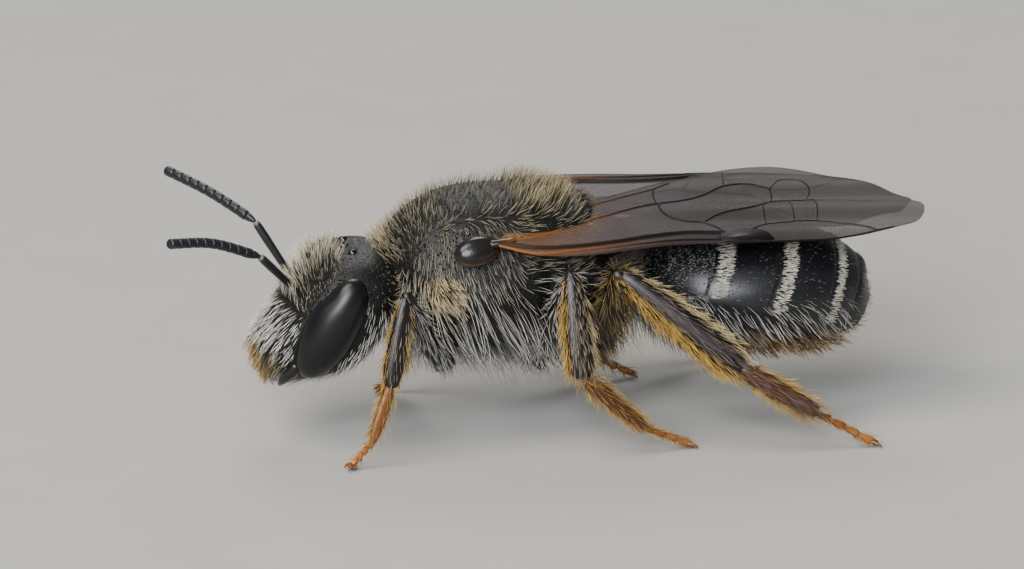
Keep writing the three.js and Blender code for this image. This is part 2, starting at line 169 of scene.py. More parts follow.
# Wings: distance from the hinge and distance behind the line from hinge to tip.
WING_THICKNESS = 0.012
WING_CELLS = (84, 22)  # along and across the film
WING_RIPPLE = 0.03  # height of the waves across the film's outer half
STIGMA_THICKNESS = 0.03
FORE_WING = {
    "lead": [(0, -0.1), (0.25, -0.4), (0.6, -0.52), (1.2, -0.57), (2.0, -0.5), (2.84, -0.42),
             (3.8, -0.46), (4.7, -0.51), (5.4, -0.54), (6.1, -0.48), (6.6, -0.35), (6.9, -0.19),
             (7.1, -0.02), (7.19, 0.11), (7.22, 0.2)],
    "trail": [(0, 0.12), (0.3, 0.35), (0.8, 0.6), (1.4, 0.88), (2.0, 1.08), (2.6, 1.27), (3.4, 1.5),
              (4.0, 1.66), (4.6, 1.71), (5.2, 1.66), (5.8, 1.46), (6.4, 1.1), (6.8, 0.77), (7.03, 0.54),
              (7.15, 0.37), (7.21, 0.26), (7.22, 0.2)],
    "left": {"hinge": (1.33, -1.2, 3.48), "tip": (0.6, 5.89, 3.28), "rise": 0.26, "arch": 0.0},
    "right": {"hinge": (-1.33, -1.2, 3.46), "tip": (-0.85, 5.72, 3.2), "rise": -0.12, "arch": 0.2},
}
HIND_WING = {
    "lead": [(0, -0.08), (0.4, -0.2), (1.4, -0.3), (2.8, -0.34), (4.1, -0.25), (4.6, -0.05), (4.75, 0.15)],
    "trail": [(0, 0.12), (0.5, 0.4), (1.4, 0.75), (2.7, 1.0), (3.7, 0.9), (4.4, 0.55), (4.68, 0.3),
              (4.75, 0.15)],
    "left": {"hinge": (1.25, -0.75, 3.3), "tip": (0.62, 3.95, 3.12), "rise": 0.12, "arch": 0.05},
    "right": {"hinge": (-1.25, -0.75, 3.3), "tip": (-0.72, 3.95, 3.1), "rise": 0.08, "arch": 0.1},
}
# Veins of the fore wing, as (thickness at the start, at the end, the places they pass through).
FORE_VEINS = {
    "radius": (0.1, 0.085, [(-0.15, -0.04), (0.5, -0.27), (1.06, -0.29), (1.87, -0.22), (2.42, -0.14),
                            (3.08, -0.12), (3.6, -0.2)]),
    "costa": (0.05, 0.06, [(-0.12, -0.12), (0.4, -0.43), (1.1, -0.42), (1.9, -0.36), (2.8, -0.3),
                            (3.6, -0.36)]),
    "margin": (0.045, 0.03, [(3.6, -0.42), (4.7, -0.5), (5.4, -0.53), (6.1, -0.46), (6.5, -0.37)]),
    "media_cubitus": (0.045, 0.045, [(-0.15, -0.02), (0.64, 0.08), (1.25, 0.32), (1.83, 0.53), (2.41, 0.72),
                                    (2.83, 0.81)]),
    "cubitus": (0.045, 0.035, [(2.83, 0.81), (3.24, 0.87), (3.7, 1.0), (4.12, 1.17), (4.5, 1.18),
                               (4.85, 1.02)]),
    "cubitus_end": (0.032, 0.02, [(4.12, 1.17), (4.18, 1.42), (4.25, 1.66)]),
    "anal": (0.035, 0.03, [(-0.12, 0.02), (0.4, 0.28), (0.78, 0.47), (1.38, 0.75), (1.96, 0.95),
                          (2.54, 1.13), (2.96, 1.25), (3.25, 1.38)]),
    "cross": (0.035, 0.035, [(2.86, 0.82), (2.86, 1.0), (2.93, 1.24)]),
    "basal": (0.05, 0.045, [(2.88, 0.8), (2.85, 0.62), (2.93, 0.42), (3.17, 0.26), (3.42, 0.2),
                            (3.56, 0.04), (3.66, -0.2)]),
    "radial_media": (0.045, 0.035, [(3.44, 0.2), (3.62, 0.32), (3.86, 0.41), (4.2, 0.46), (4.56, 0.55),
                                    (4.75, 0.66), (5.1, 0.68), (5.5, 0.66)]),
    "media_end": (0.022, 0.01, [(5.5, 0.66), (5.9, 0.62), (6.4, 0.5)]),
    "recurrent_1": (0.032, 0.032, [(4.75, 0.66), (4.82, 0.85), (4.85, 1.02)]),
    "recurrent_2": (0.03, 0.024, [(5.35, 0.67), (5.5, 0.95), (5.42, 1.2), (5.2, 1.3), (4.85, 1.02)]),
    "sector": (0.04, 0.035, [(4.15, -0.17), (4.45, 0.02), (4.78, 0.06), (5.07, 0.08), (5.45, 0.01),
                             (5.8, -0.15), (6.13, -0.38), (6.2, -0.45)]),
    "cubital_1": (0.03, 0.03, [(4.45, 0.02), (4.5, 0.25), (4.56, 0.55)]),
    "cubital_2": (0.026, 0.026, [(4.95, 0.08), (5.02, 0.35), (5.05, 0.68)]),
    "cubital_3": (0.026, 0.026, [(5.33, 0.05), (5.42, 0.3), (5.5, 0.66)]),
}
ORANGE_VEINS = ("costa", "anal", "media_cubitus")  # near the shoulder
STIGMA = [(3.46, -0.34), (3.66, -0.22), (3.92, -0.14), (4.16, -0.16), (4.36, -0.29), (4.43, -0.45),
          (4.1, -0.48), (3.7, -0.44)]
HIND_VEINS = {
    "lead": (0.05, 0.025, [(0.05, -0.05), (0.5, -0.18), (1.6, -0.28), (2.9, -0.3), (4.0, -0.22)]),
    "radius": (0.035, 0.02, [(0.1, 0.0), (1.0, -0.02), (1.9, -0.1), (2.4, -0.05), (3.4, 0.1), (4.2, 0.15)]),
    "media": (0.03, 0.015, [(0.1, 0.06), (1.0, 0.22), (1.9, 0.38), (2.9, 0.48), (3.6, 0.5)]),
}
TEGULA = {"at": (1.33, -1.64, 3.34), "half": (0.16, 0.38, 0.24), "roll": 0.5, "pitch": 0.2}
# The plates between scale and wing.
WING_ROOT = {"line": [(1.34, -1.45, 3.44), (1.37, -1.25, 3.47), (1.34, -1.02, 3.5)],
             "radii": [0.1, 0.09, 0.06], "flat": 0.7}


# ------------------------------------------------------------------ number tools


def smooth(xs, ys, x):
    """A smooth curve's value at x, through the points (xs[i], ys[i])."""
    xs, ys, x = np.asarray(xs, float), np.asarray(ys, float), np.asarray(x, float)
    slopes = np.gradient(ys, xs)
    i = np.clip(np.searchsorted(xs, x) - 1, 0, len(xs) - 2)
    step = xs[i + 1] - xs[i]
    t = np.clip((x - xs[i]) / step, 0, 1)
    start = (1 + 2 * t) * (1 - t) ** 2 * ys[i] + t * (1 - t) ** 2 * step * slopes[i]
    end = t * t * (3 - 2 * t) * ys[i + 1] + t * t * (t - 1) * step * slopes[i + 1]
    return start + end


def outline(form, at, *names):
    """A form's sizes at places along it, one array for each name."""
    return [smooth(form["at"], form[name], at) for name in names]


def bulge(value, power):
    """Turns a circle's coordinate into that of a rounder or squarer ring."""
    return np.sign(value) * np.abs(value) ** (2 / power)


def ramp(x, low, high):
    """0 below low, 1 above high and a smooth rise between them."""
    t = np.clip((np.asarray(x, float) - low) / (high - low), 0, 1)
    return t * t * (3 - 2 * t)


def unit(vectors):
    """Vectors along the last axis, made one long."""
    return vectors / np.maximum(np.linalg.norm(vectors, axis=-1, keepdims=True), 1e-9)


def axes(x, y, z, at):
    """The matrix that takes a shape's own axes to x, y and z, and its zero to a place."""
    turn = Matrix((x, y, z)).transposed().to_4x4()
    return Matrix.Translation(at) @ turn


def along(start, end, across=(1, 0, 0)):
    """The matrix that lays a shape's z from start towards end, with its x near the given vector."""
    z = (Vector(end) - Vector(start)).normalized()
    x = Vector(across)
    x = (x - x.dot(z) * z).normalized()
    return axes(x, z.cross(x), z, start)


HEAD_AXES = axes(
    Vector((1, 0, 0)),
    Vector((0, -math.cos(HEAD_LEAN), math.sin(HEAD_LEAN))),
    Vector((0, -math.sin(HEAD_LEAN), -math.cos(HEAD_LEAN))),
    HEAD_CENTRE,
)


def in_head(across, down, out):
    """A place in the head's own axes, in the bee's."""
    return HEAD_AXES @ Vector((across, out, down))


def curve_points(points, count):
    """This many places, evenly far apart, on a smooth curve through the points."""
    points = np.asarray(points, float)
    reach = np.concatenate([[0], np.cumsum(np.linalg.norm(np.diff(points, axis=0), axis=1))])
    fine = np.linspace(0, reach[-1], 400)
    path = np.stack([smooth(reach, points[:, k], fine) for k in range(points.shape[1])], 1)
    length = np.concatenate([[0], np.cumsum(np.linalg.norm(np.diff(path, axis=0), axis=1))])
    even = np.linspace(0, length[-1], count)
    return np.stack([np.interp(even, length, path[:, k]) for k in range(points.shape[1])], 1)


# ------------------------------------------------------------------ modelling tools


def ready():
    """Leaves edit mode and deselects everything."""
    if bpy.context.object and bpy.context.object.mode != "OBJECT":
        bpy.ops.object.mode_set(mode="OBJECT")
    bpy.ops.object.select_all(action="DESELECT")


def pick(*objects):
    """Selects these objects alone, with the first one active."""
    ready()
    for obj in objects:
        obj.select_set(True)
    bpy.context.view_layer.objects.active = objects[0]


def modify(obj, kind, **settings):
    """Adds a modifier with its settings and applies it."""
    pick(obj)
    modifier = obj.modifiers.new(kind.title(), kind)
    for name, value in settings.items():
        setattr(modifier, name, value)
    bpy.ops.object.modifier_apply(modifier=modifier.name)


def subdivide(obj, levels):
    if levels:
        modify(obj, "SUBSURF", levels=levels, render_levels=levels)


def read(items, name, width, kind=float):
    """One property of all of a mesh's items, with a row for each."""
    values = np.empty(len(items) * width, kind)
    items.foreach_get(name, values)
    return values.reshape(-1, width)


def coordinates(obj):
    """An object's vertices as an array."""
    return read(obj.data.vertices, "co", 3)


def reshape(obj, move):
    """Moves every vertex to where move(array of places) says."""
    obj.data.vertices.foreach_set("co", np.ascontiguousarray(move(coordinates(obj))).ravel())
    obj.data.update()


def edit(obj, operator, **settings):
    """Runs an edit mode operator on the whole of an object."""
    pick(obj)
    bpy.ops.object.mode_set(mode="EDIT")
    bpy.ops.mesh.select_all(action="SELECT")
    operator(**settings)
    bpy.ops.object.mode_set(mode="OBJECT")


def closed(obj):
    """Points the faces of a closed form outwards."""
    edit(obj, bpy.ops.mesh.normals_make_consistent, inside=False)


def settle(obj):
    """Sorts a new form's faces, which the modelling operators list in another order on every run."""
    mesh, places = obj.data, coordinates(obj)
    corners = [list(face.vertices) for face in mesh.polygons]
    faces = sorted(face[face.index(min(face)):] + face[:face.index(min(face))] for face in corners)
    mesh.clear_geometry()
    mesh.from_pydata(places, [], faces)
    return obj


def loft(name, rings, sides=12, power=2.0, levels=1):
    """A closed form along its own z, through rings of (z, x, y, half x, half y)."""
    ready()
    bpy.ops.mesh.primitive_circle_add(vertices=sides, fill_type="NGON")
    obj = bpy.context.object
    obj.name = name
    reshape(obj, lambda at: np.column_stack([bulge(at[:, 0], power), bulge(at[:, 1], power), at[:, 2]]))
    bpy.ops.object.mode_set(mode="EDIT")
    bpy.ops.mesh.select_all(action="SELECT")
    z, x, y, wide, deep = rings[0]
    bpy.ops.transform.resize(value=(wide, deep, 1), center_override=(0, 0, 0))
    bpy.ops.transform.translate(value=(x, y, z))
    for before, after in zip(rings, rings[1:]):
        z0, x0, y0, wide0, deep0 = before
        z, x, y, wide, deep = after
        bpy.ops.mesh.extrude_region_move(TRANSFORM_OT_translate={"value": (x - x0, y - y0, z - z0)})
        bpy.ops.transform.resize(value=(wide / wide0, deep / deep0, 1), center_override=(x, y, z))
    bpy.ops.object.mode_set(mode="OBJECT")
    closed(settle(obj))
    subdivide(obj, levels)
    return obj


def place(obj, matrix):
    """Moves a shape's mesh by a matrix and leaves its object at the origin."""
    pick(obj)
    obj.matrix_world = matrix
    bpy.ops.object.transform_apply(location=True, rotation=True, scale=True)
    if matrix.to_3x3().determinant() < 0:
        closed(obj)
    return obj


def show(name, data):
    """A new object in the scene, from its data."""
    obj = bpy.data.objects.new(name, data)
    bpy.context.collection.objects.link(obj)
    return obj


def copy(obj, matrix):
    """A copy with its own mesh, moved by a matrix."""
    pick(obj)
    bpy.ops.object.duplicate()
    return place(bpy.context.object, matrix)


def discard(*objects):
    for obj in objects:
        bpy.data.meshes.remove(obj.data)


def join(name, objects):
    """One object from many."""
    pick(*objects)
    bpy.ops.object.join()
    objects[0].name = name
    objects[0].data.name = name
    return objects[0]


def wear(obj, *materials):
    """Gives an object these materials and no others."""
    obj.data.materials.clear()
    for material in materials:
        obj.data.materials.append(material)
    return obj


def paint(obj, name, values):
    """Writes one number for each vertex, for a material to read."""
    layer = obj.data.attributes.get(name) or obj.data.attributes.new(name, "FLOAT", "POINT")
    layer.data.foreach_set("value", np.broadcast_to(values, len(obj.data.vertices)).astype(np.float32))


def finish(obj, material_slot, *nodes):
    """Takes a piece from the bee's millimetres to its place in metres, and hands it over."""
    place(obj, Matrix.Scale(MM, 4) @ Matrix.Translation(SHIFT))
    pick(obj)
    bpy.ops.object.shade_smooth()
    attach(obj, "root")
    if nodes:
        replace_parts(obj, *nodes)
    return obj


# ------------------------------------------------------------------ finishes


def linear(code):
    """A colour given as an sRGB hex code, in the linear numbers that Blender mixes."""
    parts = [int(code[i:i + 2], 16) / 255 for i in (0, 2, 4)]
    return tuple(p / 12.92 if p <= 0.04045 else ((p + 0.055) / 1.055) ** 2.4 for p in parts)


def per(size):
    """A texture's scale for a pattern that repeats every this many millimetres."""
    return 1 / (size * MM)


def feed(tree, node, inputs):
    """Gives a node its inputs by name, each a number, a colour or another node's socket."""
    for name, value in inputs.items():
        if isinstance(value, bpy.types.NodeSocket):
            tree.links.new(value, node.inputs[name])
        elif isinstance(value, tuple):
            node.inputs[name].default_value = (*value, 1)
        else:
            node.inputs[name].default_value = value


def add(tree, kind, inputs, **settings):
    """Adds a node with its settings and its links."""
    node = tree.nodes.new(kind)
    for name, value in settings.items():
        setattr(node, name, value)
    feed(tree, node, inputs)
    return node


# What each finish is made of. Sizes are in millimetres.
#   tone: size and detail of the mottling by which each pair of colours is mixed
#   layers: an attribute of the piece and the one or two colours that it lays over the layer before
#   own: the attribute that holds each hair's colour
#   relief: a texture, its size, its own inputs, and how its range is mapped where it needs that
#   grain: size of a finer noise on the relief, and its share of the height
#   bump: strength and depth of the relief
#   gloss: roughness at the two ends of the mottling
#   surface: the shader's own inputs
FINISHES = {
    # Thorax and head shell: close round pits that break the gloss into a dull black grain.
    "pitted_chitin": {
        "tone": (0.6, 4), "layers": [(None, "060606", "100f0d")], "gloss": (0.28, 0.42),
        "relief": ("Voronoi", 0.055, {"Randomness": 0.8}, {"From Max": 0.35}), "grain": (0.012, 0.25),
        "bump": (1.0, 0.026), "surface": {"Specular IOR Level": 0.28}},
    # Abdomen shell: fine pits in a blue-black polish, with the thin rims of the rings brown.
    "polished_chitin": {
        "tone": (0.8, 3), "layers": [(None, "07080a", "101216"), ("amber", "3a2416")],
        "gloss": (0.3, 0.44), "relief": ("Voronoi", 0.05, {"Randomness": 0.9}, {"From Max": 0.25}),
        "bump": (0.8, 0.01), "surface": {"Specular IOR Level": 0.45}},
    # Leg shell: brown-black and satin, turning amber towards the feet.
    "limb_chitin": {
        "tone": (0.25, 4), "layers": [(None, "0a0807", "17110e"), ("amber", "7a3d14", "b8702a")],
        "relief": ("Noise", 0.02, {"Detail": 2}, None), "bump": (0.4, 0.006),
        "surface": {"Roughness": 0.34, "Specular IOR Level": 0.4}},
    # Compound eye: thousands of tiny lenses, so a black gloss whose highlights are soft at the edge.
    "facet_eye": {
        "tone": (0.7, 2), "layers": [(None, "020203", "08090b")],
        "relief": ("Voronoi", 0.026, {"Randomness": 0.15}, {"From Max": 0.6, "To Min": 1.0, "To Max": 0.0}),
        "bump": (0.25, 0.004), "surface": {"Roughness": 0.34, "Specular IOR Level": 0.4}},
    # Simple eye: one clear dome over a dark ground, which takes a small sharp glint.
    "ocellus_lens": {
        "tone": (0.1, 1), "layers": [(None, "0a0605", "170e09")], "surface": {"Roughness": 0.14}},
    # Feeler shell: satin black under a down too short to see, which greys its edges.
    "downy_chitin": {
        "tone": (0.15, 4), "layers": [(None, "050607", "0e1013"), ("amber", "8a8478")],
        "relief": ("Noise", 0.018, {"Detail": 2}, None), "bump": (0.5, 0.006),
        "surface": {"Roughness": 0.4, "Sheen Weight": 0.1, "Sheen Tint": linear("8d97a3")}},
    # Jaws, shoulder scales and claws: thick smooth chitin, black and glossy, red-brown where thin.
    "horn_chitin": {
        "tone": (0.2, 3), "layers": [(None, "0b0a0a", "1c1815"), ("amber", "5a3218", "8a5628")],
        "relief": ("Voronoi", 0.06, {}, None), "bump": (0.3, 0.005),
        "surface": {"Roughness": 0.25, "Specular IOR Level": 0.4}},
    # Wing: a smoky film, golden at its root, darker towards the tip, with hardly a shine.
    "smoky_membrane": {
        "tone": (1.2, 3),
        "layers": [(None, "2a2320", "3b3034"), ("reach", "3c3836"), ("amber", "855a26")],
        "relief": ("Noise", 0.03, {"Detail": 2}, None), "bump": (0.04, 0.003),
        "surface": {"Roughness": 0.45, "Specular IOR Level": 0.12, "Alpha": 0.64}},
    # Veins: brown-black tubes, orange-brown towards the shoulder.
    "wing_vein": {
        "tone": (0.3, 2), "layers": [(None, "0b0908", "17120f"), ("amber", "74431a")],
        "surface": {"Roughness": 0.45, "Specular IOR Level": 0.15}},
    # Coat: fine hairs with a soft shine, each in its own tone, darkened at the root by painted shade and
    # lightened at the tip by a painted glow of light.
    "hair_chitin": {"own": "tint", "surface": {"Roughness": 0.5, "Specular IOR Level": 0.35}},
    # Floor: pale matt card with the faintest grain, so that shadows read on it.
    "matt_card": {
        "tone": (1.5, 3), "layers": [(None, "9e9c97", "a5a39e")], "surface": {"Roughness": 0.9}},
}


def colour_of(tree, made, tone):
    """A finish's colours, each pair mixed by the mottling and each layer laid over the last."""
    below = None
    for attribute, *codes in made["layers"]:
        colour = linear(codes[0])
        if len(codes) == 2:
            colour = add(tree, "ShaderNodeMix", {0: tone, 6: colour, 7: linear(codes[1])},
                         data_type="RGBA").outputs[2]
        if attribute:
            mask = add(tree, "ShaderNodeAttribute", {}, attribute_name=attribute).outputs["Fac"]
            colour = add(tree, "ShaderNodeMix", {0: mask, 6: below, 7: colour},
                         data_type="RGBA").outputs[2]
        below = colour
    return below


def relief_of(tree, made, place_on):
    """A finish's relief, as a normal for the shader."""
    kind, size, own, span = made["relief"]
    height = add(tree, f"ShaderNodeTex{kind}", {"Vector": place_on, "Scale": per(size), **own}).outputs[0]
    if span:
        height = add(tree, "ShaderNodeMapRange", {"Value": height, **span}).outputs["Result"]
    if "grain" in made:
        size, share = made["grain"]
        fine = add(tree, "ShaderNodeTexNoise", {"Vector": place_on, "Scale": per(size), "Detail": 2})
        height = add(tree, "ShaderNodeMath", {0: fine.outputs["Fac"], 1: share, 2: height},
                     operation="MULTIPLY_ADD").outputs["Value"]
    strength, depth = made["bump"]
    return add(tree, "ShaderNodeBump", {"Strength": strength, "Distance": depth * MM,
                                        "Height": height}).outputs["Normal"]


def material_of(name):
    """A new material, made as its finish says."""
    made = FINISHES[name]
    material = bpy.data.materials.new(name)
    material.use_nodes = True
    tree = material.node_tree
    surface = dict(made["surface"])
    if "own" in made:
        own = add(tree, "ShaderNodeAttribute", {}, attribute_name=made["own"])
        surface["Base Color"] = own.outputs["Color"]
    else:
        place_on = add(tree, "ShaderNodeTexCoord", {}).outputs["Object"]
        size, detail = made["tone"]
        tone = add(tree, "ShaderNodeTexNoise",
                   {"Vector": place_on, "Scale": per(size), "Detail": detail}).outputs["Fac"]
        surface["Base Color"] = colour_of(tree, made, tone)
    if "relief" in made:
        surface["Normal"] = relief_of(tree, made, place_on)
    if "gloss" in made:
        low, high = made["gloss"]
        gloss = add(tree, "ShaderNodeMapRange", {"Value": tone, "To Min": low, "To Max": high})
        surface["Roughness"] = gloss.outputs["Result"]
    feed(tree, tree.nodes["Principled BSDF"], surface)
    return material


# ------------------------------------------------------------------ shell

SIDES = {"left": 1, "right": -1}
parts = []  # what each number in the skin's "part" attribute stands for


def mark(obj, **facts):
    """Numbers an island of the skin, so that the coat knows what it grows on."""
    layer = obj.data.attributes.new("part", "INT", "FACE")
    layer.data.foreach_set("value", np.full(len(obj.data.polygons), len(parts), np.int32))
    parts.append(facts)
    return obj


def swell(at, swells, sides=(1, -1)):
    """Moves places round each centre by a vector that fades out over its radii."""
    for centre, radii, push in swells:
        for side in sides if centre[0] else (1,):
            mirror = np.array((side, 1, 1))
            near = np.exp(-np.sum(((at - centre * mirror) / np.array(radii)) ** 2, axis=1))
            at = at + near[:, None] * (push * mirror)
    return at


def make_thorax(material):
    """The box that carries the wings and legs, with its back in three swellings."""
    stations = np.linspace(THORAX["at"][-1], THORAX["at"][0], 22)
    top, bottom, half = outline(THORAX, stations, "top", "bottom", "half")
    rings = [(-y, 0, (t + b) / 2, h, (t - b) / 2) for y, t, b, h in zip(stations, top, bottom, half)]
    obj = loft("thorax", rings, sides=28, power=2.3, levels=2)
    place(obj, Matrix.Rotation(math.pi / 2, 4, "X"))

    def sculpt(at):
        middle = smooth(THORAX["at"], np.add(THORAX["top"], THORAX["bottom"]) / 2, at[:, 1])
        deep = smooth(THORAX["at"], np.subtract(THORAX["top"], THORAX["bottom"]) / 2, at[:, 1])
        below = np.clip((middle - at[:, 2]) / deep, 0, 1)
        at = at * np.column_stack([1 - THORAX["taper"] * below ** 1.5, np.ones((len(at), 2))])
        return swell(at, THORAX["swells"])

    reshape(obj, sculpt)
    paint(obj, "amber", 0.0)
    return mark(wear(obj, material), kind="thorax")


def on_abdomen(across, up, s, tuck):
    """Places on the abdomen: the direction round it, the distance along it at waist height, the tuck."""
    lean = smooth(TERGITES["at"], TERGITES["lean"], s)
    y = s
    for _ in range(5):
        top, bottom, half = outline(ABDOMEN, y, "top", "bottom", "half")
        z = (top + bottom) / 2 + ((top - bottom) / 2 - tuck) * up
        y = np.clip(s + lean * (z - WAIST_HEIGHT), ABDOMEN["at"][0], ABDOMEN["at"][-1])
    narrow = 1 - ABDOMEN["taper"] * np.clip(-up, 0, 1) ** 1.5
    return np.column_stack([(half - tuck) * narrow * across, y, z])


def tergite_of(at):
    """Which tergite a place on the abdomen belongs to, and how far along it the place is."""
    s = at[:, 1]
    for _ in range(5):
        lean = smooth(TERGITES["at"], TERGITES["lean"], s)
        s = at[:, 1] - lean * (at[:, 2] - WAIST_HEIGHT)
    ends = np.array(TERGITES["at"])
    number = np.clip(np.searchsorted(ends, s) - 1, 0, len(ends) - 2)
    return number, np.clip((s - ends[number]) / (ends[number + 1] - ends[number]), 0, 1)


def make_abdomen(material):
    """Rings that overlap backwards, each with its front edge tucked in and a thin brown rim behind."""
    places = [0.0, 0.1, 0.3, 0.55, 0.78, 0.9, 0.965, 0.995]
    tucks = [1.0, 0.5, 0.12, 0.0, 0.0, 0.1, 0.12, 0.16]
    stations, tucked = [], []
    for start, end in zip(TERGITES["at"], TERGITES["at"][1:]):
        stations += [start + t * (end - start) for t in places]
        tucked += [TERGITE_STEP * tuck for tuck in tucks]
    obj = loft("abdomen", [(s, 0, 0, 1, 1) for s in stations], sides=44, power=2.1, levels=0)

    def lay(at):
        tuck = np.interp(at[:, 2], stations, tucked)
        return on_abdomen(at[:, 0], at[:, 1], at[:, 2], tuck)

    reshape(obj, lay)
    closed(obj)
    subdivide(obj, 1)
    _, t = tergite_of(coordinates(obj))
    paint(obj, "amber", 0.1 * ramp(t, 0.88, 0.97))
    return mark(wear(obj, material), kind="abdomen")


def make_head(material):
    """The head capsule: flat face, round nape, a swollen face plate and pits for the feelers."""
    down = np.linspace(HEAD["at"][0], HEAD["at"][-1], 18)
    half, face, nape = outline(HEAD, down, "half", "face", "nape")
    rings = [(d, 0, (f - n) / 2, h, (f + n) / 2) for d, h, f, n in zip(down, half, face, nape)]
    obj = loft("head", rings, sides=28, power=2.7, levels=2)

    reshape(obj, lambda at: swell(at, HEAD["swells"]))
    paint(obj, "amber", 0.0)
    return mark(place(wear(obj, material), HEAD_AXES), kind="head")


def mould(name, sides=12):
    """One limb segment of length one and half width one, to be copied."""
    return loft(name, [(t, 0, 0, wide, wide) for t, wide in PROFILES[name]], sides)


def leg_joints(rank, side_name):
    """A leg's joints from body to claws, with a right leg mirrored and set in its own stance."""
    leg, side = LEGS[rank], SIDES[side_name]
    shift = leg["stance"] if side < 0 else 0
    return [Vector((side * x, y + shift * share, z))
            for (x, y, z), share in zip(leg["joints"], JOINT_SHARE)]


def make_legs(material):
    """All six legs' segments, from one mould for each kind."""
    moulds = {name: mould(name) for name in (*SEGMENTS[:-1], "tarsomere")}
    segments = []
    for rank, leg in LEGS.items():
        for side_name in SIDES:
            joints = leg_joints(rank, side_name)
            for name, start, end, radius in zip(SEGMENTS, joints, joints[1:], leg["radii"]):
                count = TARSOMERES if name == "tarsus" else 1
                for k in range(count):
                    a, b = start.lerp(end, k / count), start.lerp(end, (k + 1) / count)
                    size = (radius * FLATNESS.get(name, 0.8), radius, (b - a).length * SEGMENT_OVERLAP, 1)
                    lay = along(a, b) @ Matrix.Diagonal(size)
                    obj = copy(moulds["tarsomere" if name == "tarsus" else name], lay)
                    amber = 0.0
                    if name in FOOT_AMBER:
                        amber = FOOT_AMBER[name] + TARSOMERE_AMBER * k + FORE_AMBER * (rank == "fore")
                    paint(obj, "amber", amber)
                    segments.append(mark(wear(obj, material), kind="leg", rank=rank, side=side_name,
                                         segment=name, start=a, end=b))
    discard(*moulds.values())
    return segments


def make_skin():
    """Head, thorax, abdomen and legs as one mesh, with an unwrap of its own for the coat to share."""
    parts.clear()
    black, polish, limb = [material_of(f"{name}_chitin") for name in ("pitted", "polished", "limb")]
    islands = [make_head(black), make_thorax(black), make_abdomen(polish), *make_legs(limb)]
    skin = join("skin", islands)
    skin.data.uv_layers.new(name="OFBake")
    edit(skin, bpy.ops.uv.smart_project, angle_limit=math.radians(60), island_margin=0.001)
    nodes = [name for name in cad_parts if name.startswith(("head", "thorax", "abdomen", "leg"))]
    return finish(skin, "furry_cuticle", *nodes)


# ------------------------------------------------------------------ eyes, jaws, feelers, claws, scales


def rod(name, points, radii, sides=10, levels=1, flat=1.0, across=(1, 0, 0)):
    """A tapering rod bent along a curve through the points, with its radii evenly far apart along it."""
    steps = 9
    path = curve_points(points, steps)
    share = np.linspace(0, 1, steps)
    width = smooth(np.linspace(0, 1, len(radii)), radii, share)
    obj = loft(name, [(t, 0, 0, w, w * flat) for t, w in zip(share, width)], sides, levels=0)
    tangents = unit(np.gradient(path, axis=0))
    x_axes = unit(np.array(across) - tangents * (tangents @ np.array(across))[:, None])
    y_axes = np.cross(tangents, x_axes)

    def bend(at):
        spots = [np.column_stack([np.interp(at[:, 2], share, rows[:, k]) for k in range(3)])
                 for rows in (path, x_axes, y_axes)]
        return spots[0] + spots[1] * at[:, :1] + spots[2] * at[:, 1:2]

    reshape(obj, bend)
    closed(obj)
    subdivide(obj, levels)
    return obj


def make_eyes():
    """Two bean-shaped compound eyes and the three simple eyes on the crown."""
    lens, dome = material_of("facet_eye"), material_of("ocellus_lens")
    (x0, d0, f0), (wide, long, deep) = EYE["at"], EYE["half"]
    for side_name, side in SIDES.items():
        ups = np.sin(np.linspace(-0.97, 0.97, 15) * math.pi / 2)
        rings = [(d0 + long * up, side * (x0 - EYE["tilt"] * up), f0, wide * s, deep * s)
                 for up, s in zip(ups, np.sqrt(1 - ups ** 2))]
        eye = loft(f"facets_{side_name}", rings, sides=24, levels=2)
        reshape(eye, lambda at: swell(at, EYE["swells"], (side,)))
        place(eye, HEAD_AXES)
        finish(wear(eye, lens), "compound_eye", f"eye_{side_name}")
    simple = []
    for across, down, out in OCELLI:
        ready()
        bpy.ops.mesh.primitive_uv_sphere_add(segments=20, ring_count=12, radius=OCELLUS_RADIUS)
        ball = settle(bpy.context.object)
        reshape(ball, lambda at: at + np.maximum(at[:, 1:2], 0) * (0, 0.25, 0))
        simple.append(place(wear(ball, dome), HEAD_AXES @ Matrix.Translation((across, out, down))))
    finish(join("ocelli", simple), "compound_eye")


def make_jaws():
    """Curved mandibles, closed across the mouth, red-brown towards their points."""
    horn = material_of("horn_chitin")
    for side_name, side in SIDES.items():
        points = [in_head(side * across, down, out) for across, down, out in MANDIBLE["line"]]
        jaw = rod(f"jaw_{side_name}", points, MANDIBLE["radii"], flat=MANDIBLE["flat"], levels=2)
        reach = coordinates(jaw) - np.array(points[0])
        paint(jaw, "amber", ramp(np.linalg.norm(reach, axis=1), 0.5, 0.85) * 0.35)
        finish(wear(jaw, horn), "black_cuticle", f"mandible_{side_name}")


